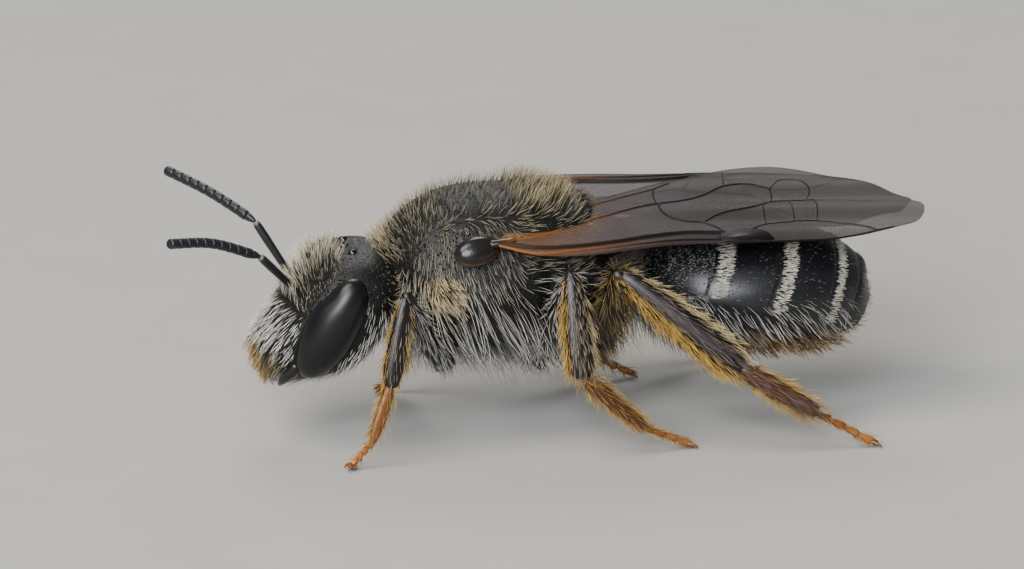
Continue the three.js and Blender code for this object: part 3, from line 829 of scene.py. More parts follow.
def make_feelers():
    """Each feeler: a long first joint, a small knob and ten short joints in a shallow curve."""
    skin = material_of("downy_chitin")
    moulds = {name: mould(name, sides=14) for name in ("scape", "flagellomere", "tarsomere")}
    for side_name in SIDES:
        socket, elbow, middle, tip = [Vector(point) for point in FEELERS[side_name]]
        size = (FEELER["scape"], FEELER["scape"], (elbow - socket).length, 1)
        scape = copy(moulds["scape"], along(socket, elbow) @ Matrix.Diagonal(size))
        reach = np.linalg.norm(coordinates(scape) - np.array(socket), axis=1)
        paint(scape, "amber", 0.6 * ramp(reach / (elbow - socket).length, 0.965, 0.995))
        path = curve_points([elbow, middle, tip], FEELER["joints"] + 2)
        whip = []
        for k, (a, b) in enumerate(zip(path, path[1:])):
            radius = FEELER["pedicel"] if k == 0 else FEELER["whip"]
            size = (radius, radius, np.linalg.norm(b - a) * FEELER["overlap"], 1)
            kind = "tarsomere" if k == 0 else "flagellomere"
            joint = copy(moulds[kind], along(a, b) @ Matrix.Diagonal(size))
            paint(joint, "amber", 0.0)
            whip.append(joint)
        scape.name = f"feeler_shaft_{side_name}"
        finish(wear(scape, skin), "black_cuticle", f"antenna_scape_{side_name}")
        finish(wear(join(f"feeler_whip_{side_name}", whip), skin), "black_cuticle",
               f"antenna_flagellum_{side_name}")
    discard(*moulds.values())


def make_claws():
    """A pair of hooked claws and a pad on each foot, and the spurs at the end of each shin."""
    horn = material_of("horn_chitin")
    for rank in LEGS:
        for side_name in SIDES:
            ankle, heel, toe = leg_joints(rank, side_name)[-3:]
            on = along(heel, toe) @ Matrix.Translation((0, 0, (toe - heel).length))

            def reach(across, ahead, fall):
                spot = on @ Vector((across, 0, ahead))
                spot.z = toe.z + (SOLE - toe.z) * fall
                return spot

            pieces = []
            foot = (heel - ankle).normalized()
            for turn in (-1, 1):
                hook = [reach(turn * across, ahead, fall) for across, ahead, fall in CLAW["line"]]
                pieces.append(rod("claw", hook, CLAW["radii"], sides=8))
                out, back, up = SPUR["from"]
                start = ankle + Vector((turn * out, back, up))
                spur = [start + foot * on_foot + Vector((turn * out, 0, up))
                        for on_foot, out, up in SPUR["line"]]
                pieces.append(rod("spur", spur, SPUR["radii"], sides=6))
            pieces.append(rod("pad", [reach(*spot) for spot in PAD["line"]], PAD["radii"], sides=8))
            for piece in pieces:
                paint(piece, "amber", 0.75)
            finish(wear(join(f"claws_{rank}_{side_name}", pieces), horn), "amber_foot")


def make_tegulae():
    """The smooth scale over each wing's root, with a thin brown rim."""
    horn = material_of("horn_chitin")
    for side_name, side in SIDES.items():
        x, y, z = TEGULA["at"]
        ready()
        bpy.ops.mesh.primitive_uv_sphere_add(segments=32, ring_count=18)
        scale = settle(bpy.context.object)
        at = coordinates(scale)
        edge = np.linalg.norm(at[:, 1:], axis=1)
        paint(scale, "amber", ramp(edge, 0.9, 0.98) * ramp(-at[:, 2], 0.2, 0.7) * 0.5)

        def sculpt(at):
            wide, long, deep = TEGULA["half"]
            rim = np.exp(-((np.linalg.norm(at[:, 1:], axis=1) - 0.94) / 0.06) ** 2)
            dome = at[:, 0] * (1 - 0.35 * rim)
            return np.column_stack([dome * wide, at[:, 1] * long, at[:, 2] * deep])

        reshape(scale, sculpt)
        lay = (Matrix.Translation((side * x, y, z)) @ Matrix.Rotation(-side * TEGULA["roll"], 4, "Y")
               @ Matrix.Rotation(TEGULA["pitch"], 4, "X"))
        scale.name = f"scale_{side_name}"
        place(wear(scale, horn), lay)
        root = rod("root", [(side * px, py, pz) for px, py, pz in WING_ROOT["line"]],
                   WING_ROOT["radii"], flat=WING_ROOT["flat"])
        paint(root, "amber", ramp(coordinates(root)[:, 1], -1.35, -1.05) * 0.5)
        finish(join(f"scale_{side_name}", [scale, wear(root, horn)]), "black_cuticle", f"tegula_{side_name}")


# ------------------------------------------------------------------ wings


def wing_surface(kind, side_name):
    """A function from distance along and behind the wing's line, and height over it, to places."""
    form, side = kind[side_name], SIDES[side_name]
    hinge, tip = Vector(form["hinge"]), Vector(form["tip"])
    length = (tip - hinge).length
    forth = (tip - hinge).normalized()
    behind = Vector((-forth.y * side, forth.x * side, 0)).normalized()

    def lay(u, v, lift=0.0):
        u, v = np.asarray(u, float), np.asarray(v, float)
        ripple = WING_RIPPLE * np.sin(9 * v + 0.8 * u) * ramp(u, 2.0, 4.5)
        height = form["rise"] * v + form["arch"] * np.sin(math.pi * u / length) + ripple + lift
        return (np.array(hinge) + u[..., None] * np.array(forth) + v[..., None] * np.array(behind)
                + height[..., None] * np.array((0, 0, 1.0)))

    return lay


def make_membrane(name, kind, lay):
    """The wing's film, as a closed sheet."""
    ready()
    bpy.ops.mesh.primitive_grid_add(x_subdivisions=WING_CELLS[0], y_subdivisions=WING_CELLS[1], size=1)
    film = bpy.context.object
    film.name = name
    at = coordinates(film)
    lead, trail = np.array(kind["lead"]), np.array(kind["trail"])
    length = lead[-1, 0]
    u = length * np.sin((at[:, 0] + 0.5) * math.pi / 2)
    front, back = smooth(lead[:, 0], lead[:, 1], u), smooth(trail[:, 0], trail[:, 1], u)
    v = front + (back - front) * (at[:, 1] + 0.5)
    paint(film, "reach", ramp(u / length, 0.3, 0.9))
    paint(film, "amber", (1 - ramp(u / length, 0.04, 0.3)) * (0.3 + 0.7 * ramp(v, 0.0, 0.3)))
    reshape(film, lambda _: lay(u, v))
    edit(film, bpy.ops.mesh.remove_doubles, threshold=0.0005)
    modify(film, "SOLIDIFY", thickness=WING_THICKNESS, offset=0)
    return film


def make_vein(lay, thick, thin, points, orange):
    """One vein, as a tube that tapers from thick to thin."""
    points = curve_points(points, 4 * len(points))
    places = lay(points[:, 0], points[:, 1])
    line = bpy.data.curves.new("vein", "CURVE")
    line.dimensions = "3D"
    line.bevel_depth = 0.5
    line.bevel_resolution = 1
    line.use_fill_caps = True
    spline = line.splines.new("POLY")
    spline.points.add(len(places) - 1)
    spline.points.foreach_set("co", np.column_stack([places, np.ones(len(places))]).ravel())
    spline.points.foreach_set("radius", np.linspace(thick, thin, len(places)))
    pick(show("vein", line))
    bpy.ops.object.convert(target="MESH")
    obj = bpy.context.object
    reach = np.linalg.norm(coordinates(obj) - lay(0, 0), axis=1)
    paint(obj, "amber", orange * (1 - ramp(reach, 0.3, 3.0)))
    return obj


def make_stigma(lay):
    """The dark thick spot on the fore wing's front edge."""
    count = 4 * len(STIGMA)
    outline = curve_points([*STIGMA, STIGMA[0]], count + 1)[:-1]
    ready()
    bpy.ops.mesh.primitive_circle_add(vertices=count, fill_type="TRIFAN")
    spot = bpy.context.object
    middle = outline.mean(axis=0)
    at = coordinates(spot)
    ring = np.linalg.norm(at, axis=1) > 0.5
    turn = np.argsort(np.argsort(np.arctan2(at[ring, 1], at[ring, 0])))
    spots = np.tile(middle, (len(at), 1))
    angles = np.arctan2(*(outline - middle).T[::-1])
    spots[ring] = outline[np.argsort(angles)][turn]
    reshape(spot, lambda _: lay(spots[:, 0], spots[:, 1]))
    modify(spot, "SOLIDIFY", thickness=STIGMA_THICKNESS, offset=0)
    paint(spot, "amber", 0.0)
    return spot


def make_wings():
    """Fore and hind wings: film, tapering veins and the dark spot, each wing one piece."""
    film_finish, vein_finish = material_of("smoky_membrane"), material_of("wing_vein")
    for kind_name, kind, veins in (("fore", FORE_WING, FORE_VEINS), ("hind", HIND_WING, HIND_VEINS)):
        for side_name in SIDES:
            name = f"{kind_name}_wing_{side_name}"
            lay = wing_surface(kind, side_name)
            film = wear(make_membrane(name, kind, lay), film_finish)
            ribs = [make_vein(lay, *facts, 1.0 if vein in ORANGE_VEINS else 0.1)
                    for vein, facts in veins.items()]
            if kind_name == "fore":
                ribs.append(make_stigma(lay))
            for rib in ribs:
                wear(rib, vein_finish)
                closed(rib)
            finish(join(name, [film, *ribs]), "wing_membrane", f"wing_{kind_name}_{side_name}")


# ------------------------------------------------------------------ coat

HAIR_STEPS = np.array([0.0, 0.27, 0.55, 0.8, 1.0])  # where along a hair its rings stand, and its tip
HAIR_SIDES = 3
MAX_HAIRS = 8600  # in one piece, which keeps it under 200,000 triangles
PATCH = 0.003  # how much of the skin's map each hair takes
CLUMP = 14  # hairs that lean together
PULL = (0.1, 0.5)  # how far a hair leans to its clump's leader, as a share of the way
SWAY = 8  # spread of the angle at which hairs leave the skin, in degrees
STRAY = (0.1, 0.16)  # spread of a hair's direction at its root and at its tip
LENGTHS = (0.6, 1.15)  # shortest and longest, as a share of their own
CLUMP_TONE = (0.82, 0.36)  # a clump's share of its colour at least, and what chance adds
HAIR_TONES = (0.75, 1.25)  # the same for one hair, least and most
ROOT_SHADE_TIP_GLOW = (0.07, 1.25)  # share of its colour at a hair's root, and what the way to the tip adds: painted shade at the root and a painted glow of light at the tip
ROOT_DEPTH = 0.012  # how far under the skin a hair starts
TAPER = 0.7  # how much thinner a hair is at its tip
LOWEST = 0.004  # the least height over the floor

# Roots tried to the square millimetre, of which each place keeps as many as its own coat has.
TRIED = {"head": 1000, "thorax": 1000, "abdomen": 2600, "leg": 1100}


def skin_facts(skin):
    """The skin's triangles, in the bee's millimetres: corners, normals, map places and part."""
    mesh = skin.data
    mesh.calc_loop_triangles()
    corners = read(mesh.loop_triangles, "vertices", 3, int)
    loops = read(mesh.loop_triangles, "loops", 3, int)
    faces = read(mesh.loop_triangles, "polygon_index", 1, int)[:, 0]
    normals = read(mesh.vertex_normals, "vector", 3)
    spots = read(mesh.uv_layers["OFBake"].data, "uv", 2)
    part = read(mesh.attributes["part"].data, "value", 1, int)[:, 0]
    at = coordinates(skin) / MM - np.array(SHIFT)
    return at[corners], normals[corners], spots[loops], part[faces]


def scatter(triangles, density, rng):
    """Random roots on triangles, each with its normal and its place on the map."""
    at, normals, spots = triangles
    area = np.linalg.norm(np.cross(at[:, 1] - at[:, 0], at[:, 2] - at[:, 0]), axis=1) / 2
    count = int(area.sum() * density)
    chosen = rng.choice(len(area), count, p=area / area.sum())
    a, b = np.sqrt(rng.random(count)), rng.random(count)
    share = np.stack([1 - a, a * (1 - b), a * b], 1)[:, :, None]
    return [(values[chosen] * share).sum(axis=1) for values in (at, normals, spots)]


LOCK = ("many", "long", "thick", "lift", "tip", "lie", "colour")


def lock(on, *values):
    """One kind of hair: where it grows, hairs to the square millimetre, length and thickness, the
    angles in degrees at which it leaves the skin and ends, the way it lies and its colour."""
    return {"on": on, **dict(zip(LOCK, values))}


def blend(*locks):
    """One kind of hair for each root, mixed from locks by how far each is at home there."""
    weights = np.stack([np.maximum(np.asarray(one["on"], float), 0) for one in locks], 1)
    weights /= np.maximum(weights.sum(axis=1, keepdims=True), 1e-9)
    mixed = {}
    for key in LOCK:
        total = 0.0
        for weight, one in zip(weights.T, locks):
            value = np.asarray(one[key], float)
            if key in ("lie", "colour"):
                value = np.broadcast_to(value, (len(weight), 3))
                weight = weight[:, None]
            total = total + weight * value
        mixed[key] = total
    return mixed


def inside(at, centre, radii):
    """How far out of an oval places are: below 1 inside it."""
    return np.linalg.norm((at - np.array(centre)) / np.array(radii), axis=1)


def thorax_style(at, normal, colours, _):
    """Short, fine and upright on the back, long and pale down the sides, in buff fringes fore and aft."""
    x, y, z = np.abs(at[:, 0]), at[:, 1], at[:, 2]
    up = normal[:, 2]
    back = ramp(up, 0.0, 0.4) * (1 - ramp(y, -1.1, -0.7)) * ramp(y, -2.95, -2.65)
    disc = back * (1 - ramp(x, 0.6, 1.1)) * ramp(y, -2.3, -1.8)
    flank = ramp(x, 0.72, 0.98)
    collar = (1 - ramp(y, -2.95, -2.65)) * ramp(z, 2.7, 3.0)
    rear = ramp(y, -1.1, -0.7) * ramp(up, -0.3, 0.2)
    side = (1 - ramp(up, 0.0, 0.35)) * ramp(up, -0.85, -0.5)
    below = 1 - ramp(up, -0.85, -0.5)
    shoulder = side * ramp(z, 2.55, 2.75) * (1 - ramp(y, -2.1, -1.8))
    spot = inside(np.abs(at) * (1, 0, 1) + at * (0, 1, 0), (1.25, -2.18, 2.66), (0.28, 0.28, 0.24))
    lobe = 8 * np.exp(-spot ** 4)
    low = ramp(3.0 - z, 0.0, 1.1)
    bare = side * ramp(z, 2.3, 2.6) * ramp(y, -1.5, -1.2) * (1 - ramp(y, 0.0, 0.4))
    wings = ramp(x, 0.7, 0.95) * ramp(y, -1.1, -0.8) * ramp(z, 2.9, 3.2)
    back_end = ramp(y, -0.05, 0.3)
    waist = ramp(y, 0.4, 0.75)
    style = blend(
        lock(back * flank, 290, 0.25, 0.011, 30, 14, (0, 0.2, -1), colours["dusk"] * 0.9),
        lock((back - disc) * (1 - flank), 230, 0.25, 0.011, 76, 62, (0, 0.5, 1), colours["dusk"]),
        lock(disc * (1.01 - flank), 140, 0.25, 0.01, 80, 68, (0, 1, 0.6), colours["dusk"] * 0.65),
        lock(collar, 430, 0.3, 0.013, 72, 56, (0, -0.5, 1), colours["buff"] * 0.75),
        lock(rear * (1 - wings) * (1 - back_end), 300, 0.38, 0.013, 80, 62, (0, 0.5, 1),
             colours["buff"] * 0.8),
        # Dark hair over the back end and waist fills the notch before the abdomen; its darkness is painted
        # shade.
        lock(rear * (1 - wings) * back_end, 230 + 200 * waist, 0.16 + 0.3 * waist, 0.012, 54, 40, (0, 1, 0.3),
             colours["dusk"] * 0.4),
        lock(rear * wings, 160, 0.16, 0.012, 40, 20, (0, 1, 0), colours["buff"] * 0.55),
        lock(shoulder * 3, 280, 0.26, 0.012, 28, 14, (0, 0.15, -1), colours["dusk"] * 0.9),
        lock(side, 84, 0.4 + 0.62 * low, 0.014, 40, 16, (0, 0.55, -1),
             colours["pale"] * (0.72 - 0.12 * low)[:, None]),
        lock(below * 0.8, 110, 0.66, 0.014, 50, 44, (0, 0.4, -1), colours["pale"] * 0.42),
        lock(lobe, 1000, 0.19, 0.014, 42, 24, (0, 0.7, -0.6), colours["straw"]),
    )
    scale = inside(at * (0, 1, 1), (0, *TEGULA["at"][1:]), (1, *TEGULA["half"][1:]))
    style["many"] = style["many"] * (1 - 0.8 * bare) * (scale > 0.95)
    return style


def head_style(at, normal, colours, _):
    """Grey-buff and upright over the face, silver below, golden at the mouth, white cheeks, bare crown."""
    turn = np.array(HEAD_AXES.to_3x3())
    local, facing = (at - np.array(HEAD_CENTRE)) @ turn, normal @ turn
    x, out, down = np.abs(local[:, 0]), local[:, 1], local[:, 2]
    front = ramp(facing[:, 1] + 0.6 * (out - 0.35), -0.1, 0.3) * ramp(out, 0.12, 0.32)
    crown = (1 - front) * (1 - ramp(down, -0.7, -0.35)) * ramp(out, -0.75, -0.5)
    brow = front * (1 - ramp(down, 0.12, 0.3))
    lower = front * ramp(down, 0.12, 0.3) * (1 - ramp(down, 0.85, 1.05))
    mouth = front * ramp(down, 0.85, 1.05)
    cheek = (1 - front) * ramp(down, -0.7, -0.35)
    nape = (1 - front) * (1 - ramp(down, -0.7, -0.35)) * (1 - ramp(out, -0.75, -0.5))
    lies = {name: turn @ way for name, way in {"up": (0, 0.3, -1), "down": (0, 0.15, 1),
                                               "back": (0, -0.1, 1), "rise": (0, -0.4, -1)}.items()}
    eye = inside(local * (0, 1, 1), (0, EYE["at"][2], EYE["at"][1]), (1, EYE["half"][2], EYE["half"][1]))
    near = np.exp(-((eye - 1) / 0.35) ** 2) * (x > 0.55)
    edge = ramp(x, 0.4, 0.75)
    ocelli = np.min([inside(local, (a, o, d), (0.13, 0.13, 0.13)) for a, d, o in OCELLI], axis=0)
    style = blend(
        lock(crown, 70, 0.08, 0.008, 34, 20, lies["back"], colours["grizzle"] * 0.8),
        lock(brow, 370 - 110 * edge, 0.35 - 0.22 * edge, 0.012 - 0.003 * edge, 66, 50, lies["up"],
             colours["grizzle"] * 1.15),
        lock(lower, 340, 0.28, 0.016, 16, 5, lies["down"], colours["silver"] * 1.05),
        lock(mouth * (1 - ramp(x, 0.2, 0.5)), 430, 0.32, 0.014, 34, 20, lies["down"], colours["honey"] * 0.8),
        lock(mouth * ramp(x, 0.2, 0.5), 330, 0.32, 0.014, 26, 12, lies["down"], colours["straw"] * 0.55),
        lock(cheek, 210, 0.3 + 0.1 * ramp(down, -0.2, 0.4), 0.014, 16, 7, lies["back"],
             colours["pale"] * 0.85),
        lock(nape, 280, 0.2, 0.011, 62, 46, lies["rise"], colours["buff"] * 0.8),
    )
    style["long"] = style["long"] * (1 - 0.4 * near)
    style["many"] = style["many"] * ((eye > 1.02) | (x < 0.6)) * (ocelli > 1)
    return style


def abdomen_style(at, normal, colours, _):
    """White felt across the front of the middle rings, long pale hair below, brown at the tail."""
    number, t = tergite_of(at)
    up = normal[:, 2]
    wide = np.array([0.2, 0.2, 0.2, 0.24, 0.2])[number]
    lowest = np.array([0.3, 0.3, 0.0, -0.35, 0.0])[number]
    felt = (np.isin(number, (1, 2, 3)) * (1 - ramp(t, wide - 0.04, wide + 0.04))
            * ramp(up, lowest - 0.15, lowest + 0.05))
    disc = ramp(up, -0.15, 0.2) * (1 - felt)
    tail = (number >= 4) * 0.8
    neck = (number == 0) * (1 - ramp(t, 0.06, 0.16))
    side = (1 - ramp(up, -0.15, 0.2)) * ramp(up, -0.8, -0.5) * (1 - felt)
    below = 1 - ramp(up, -0.8, -0.5)
    return blend(
        lock(disc * (number > 0) * (1 - tail), 70, 0.08, 0.008, 25, 12, (0, 1, -0.1),
             colours["grizzle"] * 0.6),
        # Short silver down on the first ring is a painted sheen: it stands in for the shell's highlight
        # there.
        lock(disc * (number == 0) * (1 - neck), 1200, 0.07, 0.009, 20, 8, (0, 1, -0.2),
             colours["silver"] * 0.5),
        # Dark hair on the first ring's front fills the notch at the waist; its darkness is painted shade.
        lock(neck * 3, 460, 0.44, 0.014, 64, 56, (0, -0.4, 1), colours["dusk"] * 0.35),
        lock(felt * 30, 2600, 0.13, 0.024, 10, 4, (0, 1, -0.25), colours["felt"]),
        lock(side * (1 - tail), 105, 0.44, 0.015, 34, 18, (0, 0.7, -0.9), colours["pale"] * 0.7),
        lock(below * (1 - tail), 240, 0.5, 0.014, 48, 34, (0, 0.8, -0.6), colours["honey"] * 0.4),
        lock(tail, 150, 0.18, 0.011, 22, 12, (0, 1, -0.2), colours["dusk"] * 0.6),
    )


# Hair of the lower leg: outer face, front fringe, rear fringe, its length and hairs to the mm2.
LEG_COAT = {
    ("fore", "tibia"): ("taupe", "gold", "gold", 0.26, 300),
    ("mid", "tibia"): ("taupe", "gold", "straw", 0.3, 360),
    ("hind", "tibia"): ("umber", "gold", "straw", 0.4, 360),
    ("fore", "basitarsus"): ("gold", "gold", "gold", 0.3, 420),
    ("mid", "basitarsus"): ("rust", "gold", "gold", 0.34, 420),
    ("hind", "basitarsus"): ("umber", "gold", "gold", 0.38, 400),
}


def leg_style(at, normal, colours, part):
    """Stiff hairs down each leg: dark on the outer face, gold in the fringes, paler on the thighs."""
    turn = along(part["start"], part["end"]).to_3x3()
    x_axis, y_axis, z_axis = [np.array(turn.col[k]) for k in range(3)]
    side = SIDES[part["side"]]
    t = (at - np.array(part["start"])) @ z_axis / (part["end"] - part["start"]).length
    facing = -(normal @ y_axis) * np.sign(y_axis[1])  # 1 on the front edge, -1 on the rear edge
    segment, rank = part["segment"], part["rank"]
    edge = 0.1 if rank == "hind" and segment == "tibia" else 0.35
    front = ramp(facing, edge, edge + 0.3)
    rear = ramp(-facing, 0.5, 0.8)
    outer = ramp(side * (normal @ x_axis), -0.3, 0.2) * (1 - front) * (1 - rear)
    inner = np.maximum(1 - front - rear - outer, 0)
    lie = z_axis
    if segment in ("coxa", "trochanter", "femur"):
        long = 0.38 if rank == "hind" else 0.24
        hind = rank == "hind"
        tone = colours["gold"] * 0.3 + colours["straw"] * 0.15 if hind else colours["pale"] * 0.5
        knee = ramp(t, 0.8, 0.95) * (segment == "femur") * 0.8 * hind
        return blend(
            lock(outer, 240, 0.24, 0.013, 40, 26, (0, 0.3, -1), tone),
            lock(front, 240, long, 0.013, 44, 30, (0, 0, -1), tone),
            lock(rear, 240, long, 0.013, 44, 30, (0, 0.3, -1), tone),
            lock(inner, 150, long, 0.013, 48, 40, (0, 0, -1), tone * 0.9),
            lock(knee, 420, 0.12, 0.013, 28, 14, lie, colours["gold"] * 0.7),
        )
    dark, fringe, plume, long, many = LEG_COAT.get((rank, segment), ("rust", "gold", "gold", 0.21, 460))
    long = long * (0.45 + 0.55 * ramp(t, 0.0, 0.3)) if segment == "tibia" else long
    return blend(
        lock(outer, many * (0.45 if rank == "fore" else 0.85), 0.8 * long, 0.014, 25, 11, lie, colours[dark]),
        lock(front, many * 1.3, long, 0.014, 28, 13, lie, colours[fringe]),
        lock(rear, many * 1.3, long, 0.014, 30, 15, lie, colours[plume]),
        lock(inner, many * 0.8, 0.6 * long, 0.014, 32, 20, lie, colours[fringe]),
    )


STYLES = {"thorax": thorax_style, "head": head_style, "abdomen": abdomen_style, "leg": leg_style}


def comb(at, normal, style, tried, rng):
    """Thins the roots to the coat's density and gives each hair its start, its end and its colour."""
    kept = rng.random(len(at)) * tried < style["many"]
    at, normal = at[kept], normal[kept]
    length, thick, lift, tip, lie, colour = [style[key][kept] for key in LOCK[1:]]
    count = len(at)
    flat = unit(lie - normal * np.sum(lie * normal, axis=1, keepdims=True))
    sway = rng.normal(0, SWAY, count)
    lean, later = np.radians(lift + sway)[:, None], np.radians(tip + sway)[:, None]
    start = unit(flat * np.cos(lean) + normal * np.sin(lean) + rng.normal(0, STRAY[0], (count, 3)))
    end = unit(flat * np.cos(later) + normal * np.sin(later) + rng.normal(0, STRAY[1], (count, 3)))
    length = length * rng.uniform(*LENGTHS, count)
    tips = at + (start + end) / 2 * length[:, None]
    leaders = rng.choice(count, max(1, count // CLUMP), replace=False)
    tree = kd_tree(at[leaders])
    lead = leaders[np.array([tree.find(spot)[1] for spot in at])]
    pull = (tips[lead] - tips) * rng.uniform(*PULL, (count, 1)) * ramp(length, 0.25, 0.5)[:, None]
    end = end + 2 * pull / length[:, None]
    least, spread = CLUMP_TONE
    patch = (least + spread * rng.random(count))[lead] * rng.uniform(*HAIR_TONES, count)
    return kept, at, normal, start, end, length, thick, colour * patch[:, None]


def kd_tree(places):
    """Finds the nearest of many places."""
    tree = kdtree.KDTree(len(places))
    for k, place_at in enumerate(places):
        tree.insert(place_at, k)
    tree.balance()
    return tree


def grow(name, at, normal, start, end, length, thick, colour, spots, material):
    """A piece of coat: tapering three-sided hairs, each closed, with its own patch of the skin's map."""
    count, steps = len(at), len(HAIR_STEPS)
    t = HAIR_STEPS[None, :, None]
    reach = length[:, None, None]
    spine = (at - normal * ROOT_DEPTH)[:, None] + reach * (start[:, None] * (t - t * t / 2)
                                                      + end[:, None] * (t * t / 2))
    side = unit(np.cross(start, np.roll(normal, 1, axis=1) + 0.01))
    other = np.cross(start, side)
    angles = np.arange(HAIR_SIDES) * 2 * math.pi / HAIR_SIDES
    radius = thick[:, None, None, None] / 2
    thin = (1 - TAPER * HAIR_STEPS[:-1])[None, :, None, None]
    ring = (side[:, None] * np.cos(angles)[:, None] + other[:, None] * np.sin(angles)[:, None])[:, None]
    rings = spine[:, :-1, None] + ring * radius * thin
    places = np.concatenate([rings.reshape(count, -1, 3), spine[:, -1:]], axis=1)
    places[..., 2] = np.maximum(places[..., 2], LOWEST)
    each = places.shape[1]
    faces = [(0, 2, 1)]
    for step in range(steps - 1):
        low = step * HAIR_SIDES
        for k in range(HAIR_SIDES):
            after = (k + 1) % HAIR_SIDES
            if step == steps - 2:
                faces.append((low + k, low + after, each - 1))
            else:
                faces.append((low + k, low + after, low + HAIR_SIDES + after))
                faces.append((low + k, low + HAIR_SIDES + after, low + HAIR_SIDES + k))
    faces = (np.array(faces)[None] + each * np.arange(count)[:, None, None]).reshape(-1, 3)
    mesh = bpy.data.meshes.new(name)
    mesh.vertices.add(count * each)
    mesh.vertices.foreach_set("co", places.ravel())
    mesh.loops.add(faces.size)
    mesh.loops.foreach_set("vertex_index", faces.ravel())
    mesh.polygons.add(len(faces))
    mesh.polygons.foreach_set("loop_start", np.arange(0, faces.size, 3))
    mesh.update(calc_edges=True)
    along_hair = np.append(np.repeat(HAIR_STEPS[:-1], HAIR_SIDES), 1.0)
    round_hair = np.append(np.tile(np.arange(HAIR_SIDES) / (HAIR_SIDES - 1), steps - 1), 0.5)
    offset = PATCH * (np.column_stack([round_hair, along_hair]) - 0.5)
    places_on_map = np.clip(spots[:, None] + offset, 0, 1).reshape(-1, 2)
    mesh.uv_layers.new(name="OFBake")
    mesh.uv_layers["OFBake"].data.foreach_set("uv", places_on_map[faces.ravel()].ravel())
    # Each hair's colour runs from painted shade at the root to a painted glow of light at the tip.
    tint = colour[:, None] * (ROOT_SHADE_TIP_GLOW[0] + ROOT_SHADE_TIP_GLOW[1] * along_hair)[None, :, None]
    tint = np.concatenate([tint, np.ones((count, each, 1))], axis=2)
    layer = mesh.attributes.new("tint", "FLOAT_COLOR", "POINT")
    layer.data.foreach_set("color", tint.ravel().astype(np.float32))
    return wear(show(name, mesh), material)


def make_coat(sizes, colours):
    """Every hair, region by region, in pieces small enough to keep whole."""
    skin = bpy.data.objects["skin"]
    at, normals, spots, part = skin_facts(skin)
    material = material_of("hair_chitin")
    groups = {"head": [], "thorax": [], "abdomen": [], "legs_fore": [], "legs_mid": [], "legs_hind": []}
    for number, facts in enumerate(parts):
        kind = facts["kind"]
        groups[f"legs_{facts['rank']}" if kind == "leg" else kind].append(number)
    slots = {"head": "furry_cuticle", "thorax": "furry_cuticle", "abdomen": "glossy_cuticle"}
    for seed, (group, numbers) in enumerate(groups.items()):
        rng = np.random.default_rng(seed + 11)
        grown = []
        for number in numbers:
            facts = parts[number]
            here = part == number
            tried = TRIED[facts["kind"]]
            roots, normal, spot = scatter((at[here], normals[here], spots[here]), tried, rng)
            normal = unit(normal)
            style = STYLES[facts["kind"]](roots, normal, colours, facts)
            style["many"] = style["many"] * sizes.coat_density
            style["thick"] = style["thick"] * sizes.hair_thickness
            kept, *hairs = comb(roots, normal, style, tried, rng)
            grown.append((*hairs, spot[kept]))
        hairs = [np.concatenate(values) for values in zip(*grown)]
        order = np.argsort(hairs[0][:, 1], kind="stable")
        count = math.ceil(len(order) / MAX_HAIRS)
        nodes = [node for node in skin["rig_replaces"] if node.startswith(group.replace("legs", "leg"))]
        for k, chosen in enumerate(np.array_split(order, count)):
            name = f"coat_{group}_{k + 1}"
            piece = grow(name, *[values[chosen] for values in hairs], material)
            finish(piece, slots.get(group, "hairy_leg"), *nodes)


# ------------------------------------------------------------------ stage

RIGHT = Vector((0.2079, 0.9781, 0.0))  # the camera's axes, in the bee's frame
UP = Vector((-0.2860, 0.0608, 0.9563))
BACK = Vector((0.9354, -0.1988, 0.2924))
AIM = {"right": -0.7742, "up": 2.1855, "back": 1.0}  # where the middle of the frame looks, in mm
CAMERA = {"distance": 200, "view_width": 16.516, "sensor": 36}
FLOOR_WIDTH = 1.2  # metres


def make_stage():
    """Floor, sky, soft lamps and the camera."""
    ready()
    bpy.ops.mesh.primitive_plane_add(size=FLOOR_WIDTH)
    floor = bpy.context.object
    floor.name = "floor"
    wear(floor, material_of("matt_card"))
    sky = bpy.data.worlds.new("sky")
    sky.use_nodes = True
    sky.node_tree.nodes["Background"].inputs["Color"].default_value = (*linear("dfe5ea"), 1)
    sky.node_tree.nodes["Background"].inputs["Strength"].default_value = 0.3
    bpy.context.scene.world = sky
    aim = (RIGHT * AIM["right"] + UP * AIM["up"] + BACK * AIM["back"] + SHIFT) * MM
    lamps = {  # place round the aim in metres, width in metres, watts, colour
        "key": ((0.05, -0.12, 0.2), 0.16, 0.62, "fff8ee"),
        "fill": ((0.172, -0.088, 0.098), 0.14, 0.85, "f4f7ff"),
        "rim": ((-0.17, 0.03, 0.16), 0.1, 0.2, "ffffff"),
    }
    for name, (spot, width, watts, colour) in lamps.items():
        lamp = bpy.data.lights.new(name, "AREA")
        lamp.shape = "DISK"
        lamp.size = width
        lamp.energy = watts
        lamp.color = linear(colour)
        obj = show(name, lamp)
        obj.location = aim + Vector(spot)
        obj.rotation_euler = Vector(spot).to_track_quat("Z", "Y").to_euler()
    camera = bpy.data.cameras.new("camera")
    camera.sensor_width = CAMERA["sensor"]
    camera.lens = CAMERA["sensor"] * CAMERA["distance"] / CAMERA["view_width"]
    camera.clip_start = 0.01
    camera.clip_end = 10
    obj = show("camera", camera)
    turn = Matrix((RIGHT, UP, BACK)).transposed().to_4x4()
    obj.matrix_world = Matrix.Translation(aim + BACK * CAMERA["distance"] * MM) @ turn
    bpy.context.scene.camera = obj


# ------------------------------------------------------------------ add-on


def colour_property(name, code, description):
    return bpy.props.FloatVectorProperty(name=name, description=description, subtype="COLOR", size=3,
                                         min=0.0, max=1.0, default=linear(code))


